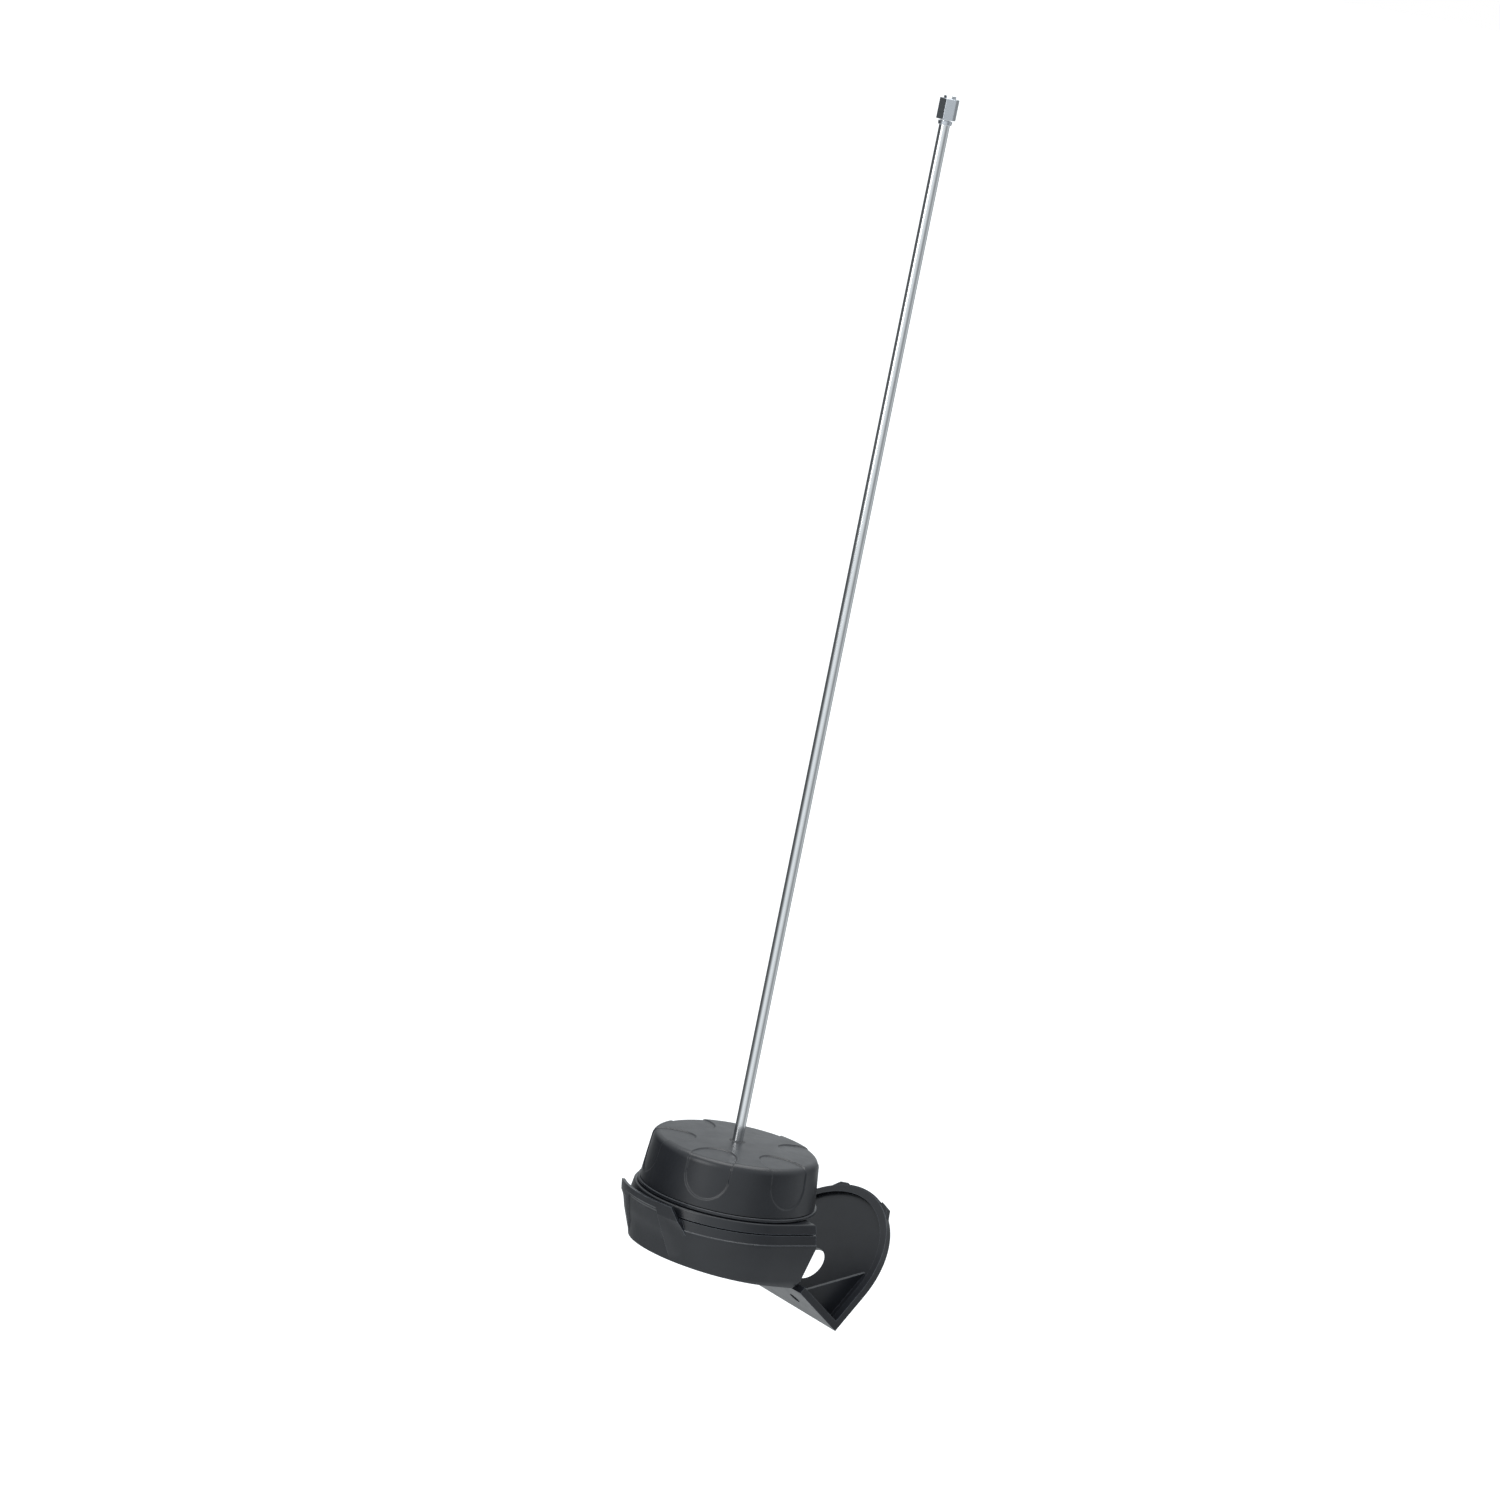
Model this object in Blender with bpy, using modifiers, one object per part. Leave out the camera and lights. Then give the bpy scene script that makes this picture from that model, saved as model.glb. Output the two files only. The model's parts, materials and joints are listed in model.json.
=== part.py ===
"""Whip antenna on a twist-off puck, carried by a tilting wall bracket.

Metres, +Z up along the whip. The origin is on the back face of the wall plate, on its centre line.
"Puck frame" below means: origin on the whip axis at the mounting plate's top face, same axes.
"Bracket frame" means: X out of the wall plate, Z up along it, origin on its bottom back edge.
"""
import math

import bmesh
import bpy
from mathutils import Matrix, Vector

MM = 0.001
GAP = 0.3 * MM
ROUND_STEPS = 48
SMALL_STEPS = 20
ARC_STEPS = 24

# Whip and its fittings, heights in the puck frame
ROD_RADIUS = 2.5 * MM
ROD_BOTTOM = 13.0 * MM
ROD_TOP = 512.9 * MM
COLLAR_HEIGHT = 1.8 * MM
COLLAR_TOP_RADIUS = 3.3 * MM
COLLAR_BOTTOM_RADIUS = 3.1 * MM
TIP_NUT_ACROSS_CORNERS = 9.2 * MM
TIP_NUT_HEIGHT = 9.6 * MM
TIP_NUT_TURN = math.radians(6.3)
TIP_CROWN_RADIUS = 2.95 * MM
TIP_CROWN_HEIGHT = 1.3 * MM
TIP_SLOT_WIDTH = 1.8 * MM
TIP_SLOT_DEPTH = 1.1 * MM
TIP_SLOT_TURN = math.radians(53.3)

# Dome cover
DOME_TOP = 25.3 * MM
DOME_BOTTOM = 2.3 * MM
DOME_TOP_RADIUS = 40.1 * MM
DOME_BOTTOM_RADIUS = 42.4 * MM
DOME_EDGE_ROUND = 4.0 * MM
DOME_WALL = 2.2 * MM
DOME_CROWN = 1.0 * MM
DOME_BORE = 3.9 * MM
BOOT_STANDS = 0.45 * MM
BOOT_CHAMFER = 0.2 * MM
GRIP_COUNT = 6
GRIP_DEPTH = 0.5 * MM
GRIP_RADIUS = 10.9 * MM
GRIP_TOP_CENTRE = 36.0 * MM
GRIP_TOP_REACH = 16.0 * MM
GRIP_SIDE_CENTRE = 16.8 * MM
GRIP_FIRST_ANGLE = math.radians(217.0)

# Arch outline shared by the plate, the cradle and the wall plate
ARCH_RADIUS = 44.4 * MM
ARCH_STRAIGHT = 21.4 * MM
PLATE_THICKNESS = 4.8 * MM

# Cradle tray, heights in the puck frame. Each skirt level: height, growth of the arch outline
# over the plate's, growth of its straight end, and how far its round end moves towards +X.
CRADLE_TOP = -PLATE_THICKNESS - GAP
CRADLE_LEVELS = (
    (CRADLE_TOP, 0.7 * MM, 0.7 * MM, 0.0),
    (-9.5 * MM, 1.2 * MM, 1.3 * MM, 0.0),
    (-9.8 * MM, 1.6 * MM, 1.6 * MM, 0.0),
    (-11.5 * MM, 1.5 * MM, 1.5 * MM, 0.0),
    (-28.0 * MM, -1.0 * MM, -1.8 * MM, 1.8 * MM),
    (-32.0 * MM, -3.0 * MM, -4.0 * MM, 2.5 * MM),
    (-38.0 * MM, -6.0 * MM, -7.0 * MM, 2.5 * MM),
)
SKIRT_WALL = 2.2 * MM
CRADLE_DECK = 2.4 * MM
SKIRT_CUT_HEIGHT = -30.6 * MM
SKIRT_CUT_SLOPE = math.atan(0.1)

# Crown tab of the cradle, in millimetres and degrees: inner radius, outer radius, outer radius
# at its two sides, half angle, height. Low down, its sides run into the skirt.
TAB_LEVELS = (
    (49.4, 50.9, 50.9, 24.4, 0.6),
    (47.9, 49.6, 49.6, 29.1, -5.5),
    (44.7, 49.5, 49.5, 29.3, -5.7),
    (44.3, 48.3, 47.0, 32.3, -9.6),
    (43.9, 47.3, 45.5, 34.0, -12.7),
    (42.0, 43.8, 43.2, 36.0, -21.9),
    (38.5, 40.0, 39.6, 37.0, -31.0),
)
TAB_SIDE_FADE = math.radians(10.0)
TAB_STEPS = 12
# Floor of the tab's sunken panel: radius, half angle, height
PANEL_LEVELS = (
    (41.0, 24.0, -26.2),
    (43.0, 22.2, -21.9),
    (46.5, 18.5, -12.7),
    (49.5, 14.5, -2.6),
)
PANEL_REACH = 58.0 * MM

# Tilting bracket
TILT = math.radians(37.0)
HEEL_X = 45.4 * MM
HEEL_Z = -52.7 * MM
WALL_PLATE = 2.0 * MM
WALL_RIM_HEIGHT = 3.6 * MM
WALL_RIM_WIDTH = 3.7 * MM
CABLE_HOLE_RADIUS = 8.8 * MM
FOOT_THICKNESS = 3.6 * MM
FOOT_LENGTH = 31.5 * MM
TONGUE_HALF_WIDTH = 22.3 * MM
SCREW_HOLE_RADIUS = 3.0 * MM
SCREW_HOLE_X = 16.9 * MM
SCREW_HOLE_Y = 26.3 * MM
GUSSET_Y = 35.6 * MM
GUSSET_THICKNESS = 1.6 * MM
GUSSET_HEIGHT = 32.4 * MM
GUSSET_LENGTH = 25.0 * MM
# Rim details at the wall plate's crown, in millimetres and degrees from the crown
WALL_TAB_INNER = 43.0 * MM
WALL_TAB_OUTER = 45.2 * MM
WALL_TAB_HALF_ANGLE = 16.5
WALL_TAB_REACH = (0.1 * MM, 3.0 * MM)
PRONG_OUTLINE = ((43.2, 18.0), (46.0, 18.0), (46.7, 24.5), (44.2, 32.0), (43.2, 32.0))
PRONG_REACH = (0.2 * MM, 3.2 * MM)
ORIGIN_HEIGHT = 6.0 * MM

# Hinge, in the bracket frame
HINGE_X = 44.0 * MM
HINGE_Z = FOOT_THICKNESS / 2
KNUCKLE_RADIUS = 4.0 * MM
PIN_RADIUS = 2.0 * MM
WASHER_THICKNESS = 0.6 * MM
LUG_RADIUS = 5.0 * MM
LUG_THICKNESS = 3.5 * MM
CLIP_THICKNESS = 1.0 * MM
CLIP_RADIUS = 4.2 * MM
WASHER_RADIUS = 4.4 * MM
PIN_STANDS = 1.2 * MM

# Puck base and the seal that the dome closes on
BASE_RADIUS = 42.9 * MM
BASE_THICKNESS = 2.0 * MM
BASE_WALL_INNER = 35.0 * MM
BASE_WALL_OUTER = 37.0 * MM
BASE_WALL_TOP = 10.0 * MM
SEAL_RING = 38.2 * MM
SEAL_RADIUS = 0.9 * MM
SEAL_HEIGHT = 4.6 * MM

# Electrical parts
CONNECTOR_RADIUS = 5.5 * MM
CONNECTOR_FLANGE = 8.5 * MM
CONNECTOR_TOP = 4.0 * MM
CONNECTOR_BOTTOM = -18.0 * MM
CONNECTOR_BORE = 4.2 * MM
CONNECTOR_BORE_DEPTH = 9.0 * MM
CONNECTOR_PIN_RADIUS = 0.8 * MM
CONNECTOR_PIN_SUNK = 2.0 * MM
CONNECTOR_NUT_RADIUS = 8.4 * MM
CONNECTOR_NUT_HEIGHT = 3.0 * MM
SOCKET_RADIUS = 9.5 * MM
SOCKET_STEM = 6.0 * MM
SOCKET_FLANGE_TOP = 0.4 * MM
SOCKET_FLANGE_BOTTOM = 2.4 * MM
SOCKET_BOTTOM = 10.0 * MM
SOCKET_NUT_RADIUS = 9.0 * MM
SOCKET_NUT_SPAN = (14.0 * MM, 18.0 * MM)
GROUND_INNER = 9.5 * MM
GROUND_OUTER = 33.0 * MM
GROUND_SPAN = (2.4 * MM, 3.4 * MM)
BOARD_INNER = 3.0 * MM
BOARD_RADIUS = 30.0 * MM
BOARD_SPAN = (6.6 * MM, 8.2 * MM)
STANDOFF_RING = 24.0 * MM
STANDOFF_RADIUS = 2.5 * MM
CONTACT_RADIUS = 1.6 * MM
CONTACT_SPAN = (4.6 * MM, 9.6 * MM)
COIL_RADIUS = 14.0 * MM
COIL_BOTTOM = 9.4 * MM
COIL_HEIGHT = 6.0 * MM
COIL_TURNS = 4
COIL_SIDES = 14
COIL_WIRE = 0.7 * MM

# Screws that hold the plate on the cradle
SCREW_SHANK = 1.7 * MM
SCREW_SHANK_HOLE = 2.0 * MM
SCREW_TOP = -1.5 * MM
SCREW_HEAD = 3.3 * MM
SCREW_HEAD_SIDE = 1.4 * MM
SCREW_HEAD_HEIGHT = 2.2 * MM
SCREW_KEY = 1.5 * MM
SCREW_KEY_DEPTH = 1.3 * MM
PLATE_EDGE = 0.8 * MM
PLATE_FLARE = 0.6 * MM
SCREW_SPOTS = ((-26 * MM, -26 * MM), (-26 * MM, 26 * MM), (6 * MM, -35 * MM), (6 * MM, 35 * MM))


def clear_scene():
    for old in list(bpy.data.objects):
        bpy.data.objects.remove(old, do_unlink=True)


def new_collection(name):
    made = bpy.data.collections.new(name)
    bpy.context.scene.collection.children.link(made)
    return made


clear_scene()
PARTS = new_collection("whip_antenna")
CUTTERS = new_collection("cutters")


def material(name, colour, roughness, metallic=0.0):
    made = bpy.data.materials.new(name)
    made.use_nodes = True
    shader = made.node_tree.nodes["Principled BSDF"]
    shader.inputs["Base Color"].default_value = (*colour, 1.0)
    shader.inputs["Roughness"].default_value = roughness
    shader.inputs["Metallic"].default_value = metallic
    return made


BODY_PLASTIC = material("body_plastic", (0.085, 0.088, 0.098), 0.42)
STEEL = material("polished_steel", (0.72, 0.73, 0.75), 0.16, 1.0)
DARK_STEEL = material("tip_steel", (0.42, 0.45, 0.5), 0.25, 1.0)
BRASS = material("brass", (0.72, 0.52, 0.22), 0.3, 1.0)
ALUMINIUM = material("aluminium", (0.75, 0.76, 0.77), 0.35, 1.0)
RUBBER = material("rubber", (0.03, 0.03, 0.032), 0.75)
BOARD = material("board", (0.03, 0.16, 0.07), 0.5)
COPPER = material("copper", (0.75, 0.35, 0.2), 0.3, 1.0)


def new_object(name, mesh, look=None):
    made = bpy.data.objects.new(name, mesh)
    if look is None:
        CUTTERS.objects.link(made)
        made.hide_render = True
        made.display_type = "WIRE"
    else:
        PARTS.objects.link(made)
        mesh.materials.append(look)
        mesh.shade_smooth()
        mesh.set_sharp_from_angle(angle=math.radians(35))
    return made


def from_bmesh(name, shape, look=None):
    bmesh.ops.recalc_face_normals(shape, faces=shape.faces)
    mesh = bpy.data.meshes.new(name)
    shape.to_mesh(mesh)
    shape.free()
    return new_object(name, mesh, look)


def box(name, low, high, look=None):
    shape = bmesh.new()
    bmesh.ops.create_cube(shape, size=1.0)
    size = Vector(high) - Vector(low)
    centre = (Vector(high) + Vector(low)) / 2
    bmesh.ops.scale(shape, vec=size, verts=shape.verts)
    bmesh.ops.translate(shape, vec=centre, verts=shape.verts)
    return from_bmesh(name, shape, look)


def cylinder(name, radius, start, end, look=None, steps=SMALL_STEPS):
    """A round or, with few steps, a polygonal bar from start to end."""
    start = Vector(start)
    along = Vector(end) - start
    shape = bmesh.new()
    bmesh.ops.create_cone(
        shape, cap_ends=True, segments=steps, radius1=radius, radius2=radius, depth=along.length
    )
    turn = Vector((0, 0, 1)).rotation_difference(along).to_matrix().to_4x4()
    bmesh.ops.transform(shape, matrix=Matrix.Translation(start + along / 2) @ turn, verts=shape.verts)
    return from_bmesh(name, shape, look)


def turned(name, profile, look=None, steps=ROUND_STEPS, closed=False):
    """A profile of (radius, height) pairs turned about Z, from the top down its outer side."""
    mesh = bpy.data.meshes.new(name)
    points = [(radius, 0.0, height) for radius, height in profile]
    edges = [(i, i + 1) for i in range(len(points) - 1)]
    if closed:
        edges.append((len(points) - 1, 0))
    mesh.from_pydata(points, edges, [])
    made = new_object(name, mesh, look)
    screw = made.modifiers.new("turn", "SCREW")
    screw.steps = steps
    screw.render_steps = steps
    screw.use_merge_vertices = True
    screw.merge_threshold = 0.00001
    screw.use_smooth_shade = look is not None
    return made


def ring(name, inner, outer, bottom, top, look, steps=ROUND_STEPS):
    profile = [(outer, top), (outer, bottom), (inner, bottom), (inner, top)]
    return turned(name, profile, look, steps, closed=True)


def loft(name, sections, look=None):
    """A solid through closed outlines that all have the same number of points."""
    shape = bmesh.new()
    rings = [[shape.verts.new(point) for point in section] for section in sections]
    count = len(rings[0])
    for lower, upper in zip(rings, rings[1:]):
        for i in range(count):
            j = (i + 1) % count
            shape.faces.new((lower[i], lower[j], upper[j], upper[i]))
    shape.faces.new(rings[0])
    shape.faces.new(rings[-1])
    return from_bmesh(name, shape, look)


def arch(radius, straight, height, shift=0.0):
    """Arch outline in the XY plane: a half circle on the -X side with straight sides towards +X."""
    points = [(straight, -radius, height), (straight, radius, height)]
    for step in range(ARC_STEPS + 1):
        angle = math.pi / 2 + math.pi * step / ARC_STEPS
        points.append((shift + radius * math.cos(angle), radius * math.sin(angle), height))
    return points


def sector(inner, outer, half_angle, height, steps=8):
    """Ring-segment outline around the crown of an arch, centred on -X."""
    half = math.radians(half_angle)
    angles = [math.pi - half + 2 * half * step / steps for step in range(steps + 1)]
    outside = [(outer * math.cos(a), outer * math.sin(a), height) for a in angles]
    inside = [(inner * math.cos(a), inner * math.sin(a), height) for a in reversed(angles)]
    return outside + inside


def combine(target, other, operation):
    modifier = target.modifiers.new(operation.lower(), "BOOLEAN")
    modifier.operation = operation
    modifier.solver = "EXACT"
    modifier.object = other


def cut(target, cutter):
    combine(target, cutter, "DIFFERENCE")


def join(target, addition):
    combine(target, addition, "UNION")


def bake(target):
    """Fixes the shape that the modifiers give, so that it can be turned without changing the cuts."""
    shown = target.evaluated_get(bpy.context.evaluated_depsgraph_get())
    mesh = bpy.data.meshes.new_from_object(shown)
    mesh.name = target.name
    target.modifiers.clear()
    target.data = mesh
    return target


def bracket_point(x, y, z):
    """A bracket-frame point, in the puck frame."""
    out = Vector((-math.cos(TILT), 0, math.sin(TILT)))
    up = Vector((math.sin(TILT), 0, math.cos(TILT)))
    return Vector((HEEL_X, y, HEEL_Z)) + out * x + up * z


PUCK_ORIGIN = -bracket_point(0, 0, ORIGIN_HEIGHT)
HINGE = bracket_point(HINGE_X, 0, HINGE_Z)


def dome_profile(shrink=0.0):
    """Outer side of the dome, from near the axis to its foot, moved inwards by shrink."""
    top = DOME_TOP - shrink
    slope = (DOME_BOTTOM_RADIUS - DOME_TOP_RADIUS) / (DOME_TOP - DOME_BOTTOM)
    edge = DOME_EDGE_ROUND - shrink
    centre_radius = DOME_TOP_RADIUS - DOME_EDGE_ROUND
    centre_height = DOME_TOP - DOME_EDGE_ROUND
    points = [(centre_radius * share, top + DOME_CROWN * (1 - share * share)) for share in (0.12, 0.5, 0.8)]
    last_angle = math.atan(slope)
    for step in range(6):
        angle = math.pi / 2 - (math.pi / 2 - last_angle) * step / 5
        points.append((centre_radius + edge * math.cos(angle), centre_height + edge * math.sin(angle)))
    foot = points[-1][0] + (points[-1][1] - DOME_BOTTOM) * slope
    points.append((foot, DOME_BOTTOM))
    return points


def grip_outline(centre, reach, half_width):
    """A long bar along the first axis whose round end reaches back from its centre."""
    outline = [(60 * MM, half_width), (centre, half_width)]
    for step in range(1, 12):
        angle = math.pi / 2 + math.pi * step / 12
        outline.append((centre + reach * math.cos(angle), half_width * math.sin(angle)))
    return outline + [(centre, -half_width), (60 * MM, -half_width)]


def grip_cutter(index, floor):
    """One finger grip: a round-ended plug seen from above and from the side, down to the grip's floor."""
    turn = Matrix.Rotation(GRIP_FIRST_ANGLE + index * 2 * math.pi / GRIP_COUNT, 3, "Z")
    from_above = []
    for height in (2 * MM, 40 * MM):
        outline = grip_outline(GRIP_TOP_CENTRE, GRIP_TOP_REACH, GRIP_RADIUS)
        from_above.append([turn @ Vector((r, y, height)) for r, y in outline])
    from_side = []
    side_radius = GRIP_RADIUS + 0.1 * MM
    for reach in (10 * MM, 58 * MM):
        outline = grip_outline(GRIP_SIDE_CENTRE, side_radius, side_radius)
        from_side.append([turn @ Vector((reach, y, h)) for h, y in outline])
    plug = loft(f"grip_plug_{index}", from_above)
    combine(plug, loft(f"grip_side_{index}", from_side), "INTERSECT")
    cut(plug, floor)
    return bake(plug)


def make_whip():
    rod = cylinder("whip_rod", ROD_RADIUS, (0, 0, ROD_BOTTOM), (0, 0, ROD_TOP), STEEL, 24)
    collar_top = ROD_TOP - GAP
    collar_bottom = collar_top - COLLAR_HEIGHT
    bore = ROD_RADIUS + GAP
    collar_profile = [
        (COLLAR_TOP_RADIUS, collar_top),
        (COLLAR_BOTTOM_RADIUS, collar_bottom),
        (bore, collar_bottom),
        (bore, collar_top),
    ]
    collar = turned("tip_collar", collar_profile, DARK_STEEL, 24, closed=True)
    nut_bottom = ROD_TOP + GAP
    nut_top = nut_bottom + TIP_NUT_HEIGHT
    crown_top = nut_top + TIP_CROWN_HEIGHT
    nut_radius = TIP_NUT_ACROSS_CORNERS / 2
    nut = cylinder("tip_nut", nut_radius, (0, 0, nut_bottom), (0, 0, nut_top), DARK_STEEL, 6)
    nut.rotation_euler.z = TIP_NUT_TURN
    join(nut, cylinder("tip_crown", TIP_CROWN_RADIUS, (0, 0, nut_top - MM), (0, 0, crown_top), None, 24))
    for index in range(2):
        slot = box(
            f"tip_slot_{index}",
            (-nut_radius, -TIP_SLOT_WIDTH / 2, crown_top - TIP_SLOT_DEPTH),
            (nut_radius, TIP_SLOT_WIDTH / 2, crown_top + MM),
        )
        slot.rotation_euler.z = TIP_SLOT_TURN + index * math.pi / 2
        cut(nut, slot)
    return [rod, collar, nut]


def make_dome():
    outside = dome_profile()
    inside = dome_profile(DOME_WALL)
    shell = [(DOME_BORE, outside[0][1])] + outside[1:]
    shell += list(reversed(inside[1:])) + [(DOME_BORE, inside[0][1])]
    cover = turned("dome_cover", shell, BODY_PLASTIC, ROUND_STEPS, closed=True)
    floor_profile = dome_profile(GRIP_DEPTH)
    floor_profile = [(0.0, floor_profile[0][1])] + floor_profile + [(0.0, DOME_BOTTOM)]
    floor = turned("grip_floor", floor_profile, None, ROUND_STEPS)
    for index in range(GRIP_COUNT):
        cut(cover, grip_cutter(index, floor))
    top = outside[0][1]
    boot_radius = DOME_BORE - GAP
    rod_bore = ROD_RADIUS + GAP
    boot_profile = [
        (rod_bore, top + BOOT_STANDS),
        (boot_radius - BOOT_CHAMFER, top + BOOT_STANDS),
        (boot_radius, top + BOOT_STANDS - BOOT_CHAMFER),
        (boot_radius, top - DOME_WALL),
        (rod_bore, top - DOME_WALL),
    ]
    boot = turned("hub_boot", boot_profile, RUBBER, 24, closed=True)
    under = top - DOME_WALL - GAP
    socket_profile = [
        (0.0, under - SOCKET_FLANGE_TOP),
        (SOCKET_RADIUS, under - SOCKET_FLANGE_TOP),
        (SOCKET_RADIUS, under - SOCKET_FLANGE_BOTTOM),
        (SOCKET_STEM, under - SOCKET_FLANGE_BOTTOM),
        (SOCKET_STEM, SOCKET_BOTTOM),
        (0.0, SOCKET_BOTTOM),
    ]
    socket = turned("whip_socket", socket_profile, BRASS, 24)
    cut(socket, cylinder("socket_bore", rod_bore, (0, 0, ROD_BOTTOM - GAP), (0, 0, under + MM), None, 24))
    nut_low, nut_high = SOCKET_NUT_SPAN
    nut = cylinder("socket_nut", SOCKET_NUT_RADIUS, (0, 0, nut_low), (0, 0, nut_high), STEEL, 6)
    nut_bore = ((0, 0, nut_low - MM), (0, 0, nut_high + MM))
    cut(nut, cylinder("socket_nut_bore", SOCKET_STEM + GAP, *nut_bore, None, 24))
    return [cover, boot, socket, nut]


def make_puck_base():
    bore = CONNECTOR_RADIUS + GAP
    base_profile = [
        (BASE_WALL_OUTER, BASE_WALL_TOP),
        (BASE_WALL_OUTER, BASE_THICKNESS),
        (BASE_RADIUS, BASE_THICKNESS),
        (BASE_RADIUS, GAP),
        (bore, GAP),
        (bore, BASE_THICKNESS),
        (BASE_WALL_INNER, BASE_THICKNESS),
        (BASE_WALL_INNER, BASE_WALL_TOP),
    ]
    base = turned("puck_base", base_profile, BODY_PLASTIC, ROUND_STEPS, closed=True)
    seal_profile = []
    for step in range(6):
        angle = math.pi / 2 - 2 * math.pi * step / 6
        across = SEAL_RADIUS * math.cos(angle)
        seal_profile.append((SEAL_RING + across, SEAL_HEIGHT + SEAL_RADIUS * math.sin(angle)))
    seal = turned("dome_seal", seal_profile, RUBBER, 24, closed=True)
    ground = ring("ground_plane", GROUND_INNER, GROUND_OUTER, *GROUND_SPAN, ALUMINIUM, 32)
    board = ring("matching_board", BOARD_INNER, BOARD_RADIUS, *BOARD_SPAN, BOARD, 32)
    pieces = [base, seal, ground, board]
    low = GROUND_SPAN[1] + GAP
    high = BOARD_SPAN[0] - GAP
    for index in range(3):
        angle = math.radians(30 + 120 * index)
        x = STANDOFF_RING * math.cos(angle)
        y = STANDOFF_RING * math.sin(angle)
        name = f"board_standoff_{index + 1}"
        pieces.append(cylinder(name, STANDOFF_RADIUS, (x, y, low), (x, y, high), BRASS))
    contact_low, contact_high = CONTACT_SPAN
    pin = cylinder("contact_pin", CONTACT_RADIUS, (0, 0, contact_low), (0, 0, contact_high), BRASS)
    return pieces + [make_coil(), pin]


def make_coil():
    curve = bpy.data.curves.new("matching_coil", "CURVE")
    curve.dimensions = "3D"
    curve.bevel_depth = COIL_WIRE
    curve.bevel_resolution = 1
    curve.use_fill_caps = True
    spline = curve.splines.new("POLY")
    steps = COIL_SIDES * COIL_TURNS
    spline.points.add(steps)
    for step in range(steps + 1):
        angle = 2 * math.pi * step / COIL_SIDES
        height = COIL_BOTTOM + COIL_HEIGHT * step / steps
        spline.points[step].co = (COIL_RADIUS * math.cos(angle), COIL_RADIUS * math.sin(angle), height, 1)
    coil = bpy.data.objects.new("coil_route", curve)
    PARTS.objects.link(coil)
    shown = coil.evaluated_get(bpy.context.evaluated_depsgraph_get())
    mesh = bpy.data.meshes.new_from_object(shown)
    bpy.data.objects.remove(coil, do_unlink=True)
    shape = bmesh.new()
    shape.from_mesh(mesh)
    bmesh.ops.remove_doubles(shape, verts=shape.verts, dist=0.00001)
    return from_bmesh("matching_coil", shape, COPPER)


def make_connector():
    bore_end = CONNECTOR_BOTTOM + CONNECTOR_BORE_DEPTH
    pin_end = CONNECTOR_BOTTOM + CONNECTOR_PIN_SUNK
    flange = BASE_THICKNESS + GAP
    profile = [
        (0.0, CONNECTOR_TOP),
        (CONNECTOR_FLANGE, CONNECTOR_TOP),
        (CONNECTOR_FLANGE, flange),
        (CONNECTOR_RADIUS, flange),
        (CONNECTOR_RADIUS, CONNECTOR_BOTTOM),
        (CONNECTOR_BORE, CONNECTOR_BOTTOM),
        (CONNECTOR_BORE, bore_end),
        (CONNECTOR_PIN_RADIUS, bore_end),
        (CONNECTOR_PIN_RADIUS, pin_end),
        (0.0, pin_end),
    ]
    body = turned("connector_body", profile, BRASS, 24)
    top = CRADLE_TOP - CRADLE_DECK - GAP
    bottom = top - CONNECTOR_NUT_HEIGHT
    nut = cylinder("connector_nut", CONNECTOR_NUT_RADIUS, (0, 0, bottom), (0, 0, top), STEEL, 6)
    hole = ((0, 0, bottom - MM), (0, 0, top + MM))
    cut(nut, cylinder("connector_nut_bore", CONNECTOR_RADIUS + GAP, *hole, None, 24))
    return [body, nut]


def make_plate():
    sections = [
        arch(ARCH_RADIUS + PLATE_FLARE, ARCH_STRAIGHT + PLATE_FLARE, -PLATE_THICKNESS),
        arch(ARCH_RADIUS, ARCH_STRAIGHT, -PLATE_EDGE),
        arch(ARCH_RADIUS - PLATE_EDGE, ARCH_STRAIGHT - PLATE_EDGE, 0.0),
    ]
    plate = loft("mounting_plate", sections, BODY_PLASTIC)
    hole = ((0, 0, -PLATE_THICKNESS - MM), (0, 0, MM))
    cut(plate, cylinder("plate_bore", CONNECTOR_RADIUS + GAP, *hole, None, 24))
    screws = []
    for index, (x, y) in enumerate(SCREW_SPOTS):
        hole = ((x, y, -PLATE_THICKNESS - MM), (x, y, SCREW_TOP + GAP))
        cut(plate, cylinder(f"plate_hole_{index}", SCREW_SHANK_HOLE, *hole))
        screws.append(make_screw(f"plate_screw_{index + 1}", x, y))
    return [plate] + screws


def make_screw(name, x, y):
    head_top = CRADLE_TOP - CRADLE_DECK - GAP
    head_bottom = head_top - SCREW_HEAD_HEIGHT
    profile = [
        (0.0, SCREW_TOP),
        (SCREW_SHANK, SCREW_TOP),
        (SCREW_SHANK, head_top),
        (SCREW_HEAD, head_top),
        (SCREW_HEAD, head_top - SCREW_HEAD_SIDE),
        (SCREW_HEAD * 0.8, head_bottom),
        (0.0, head_bottom),
    ]
    screw = turned(name, profile, STEEL, 16)
    key_hole = ((0, 0, head_bottom - MM), (0, 0, head_bottom + SCREW_KEY_DEPTH))
    socket = cylinder(f"{name}_socket", SCREW_KEY, *key_hole, None, 6)
    for piece in (screw, socket):
        piece.location = (x, y, 0)
    cut(screw, socket)
    return screw


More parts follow.
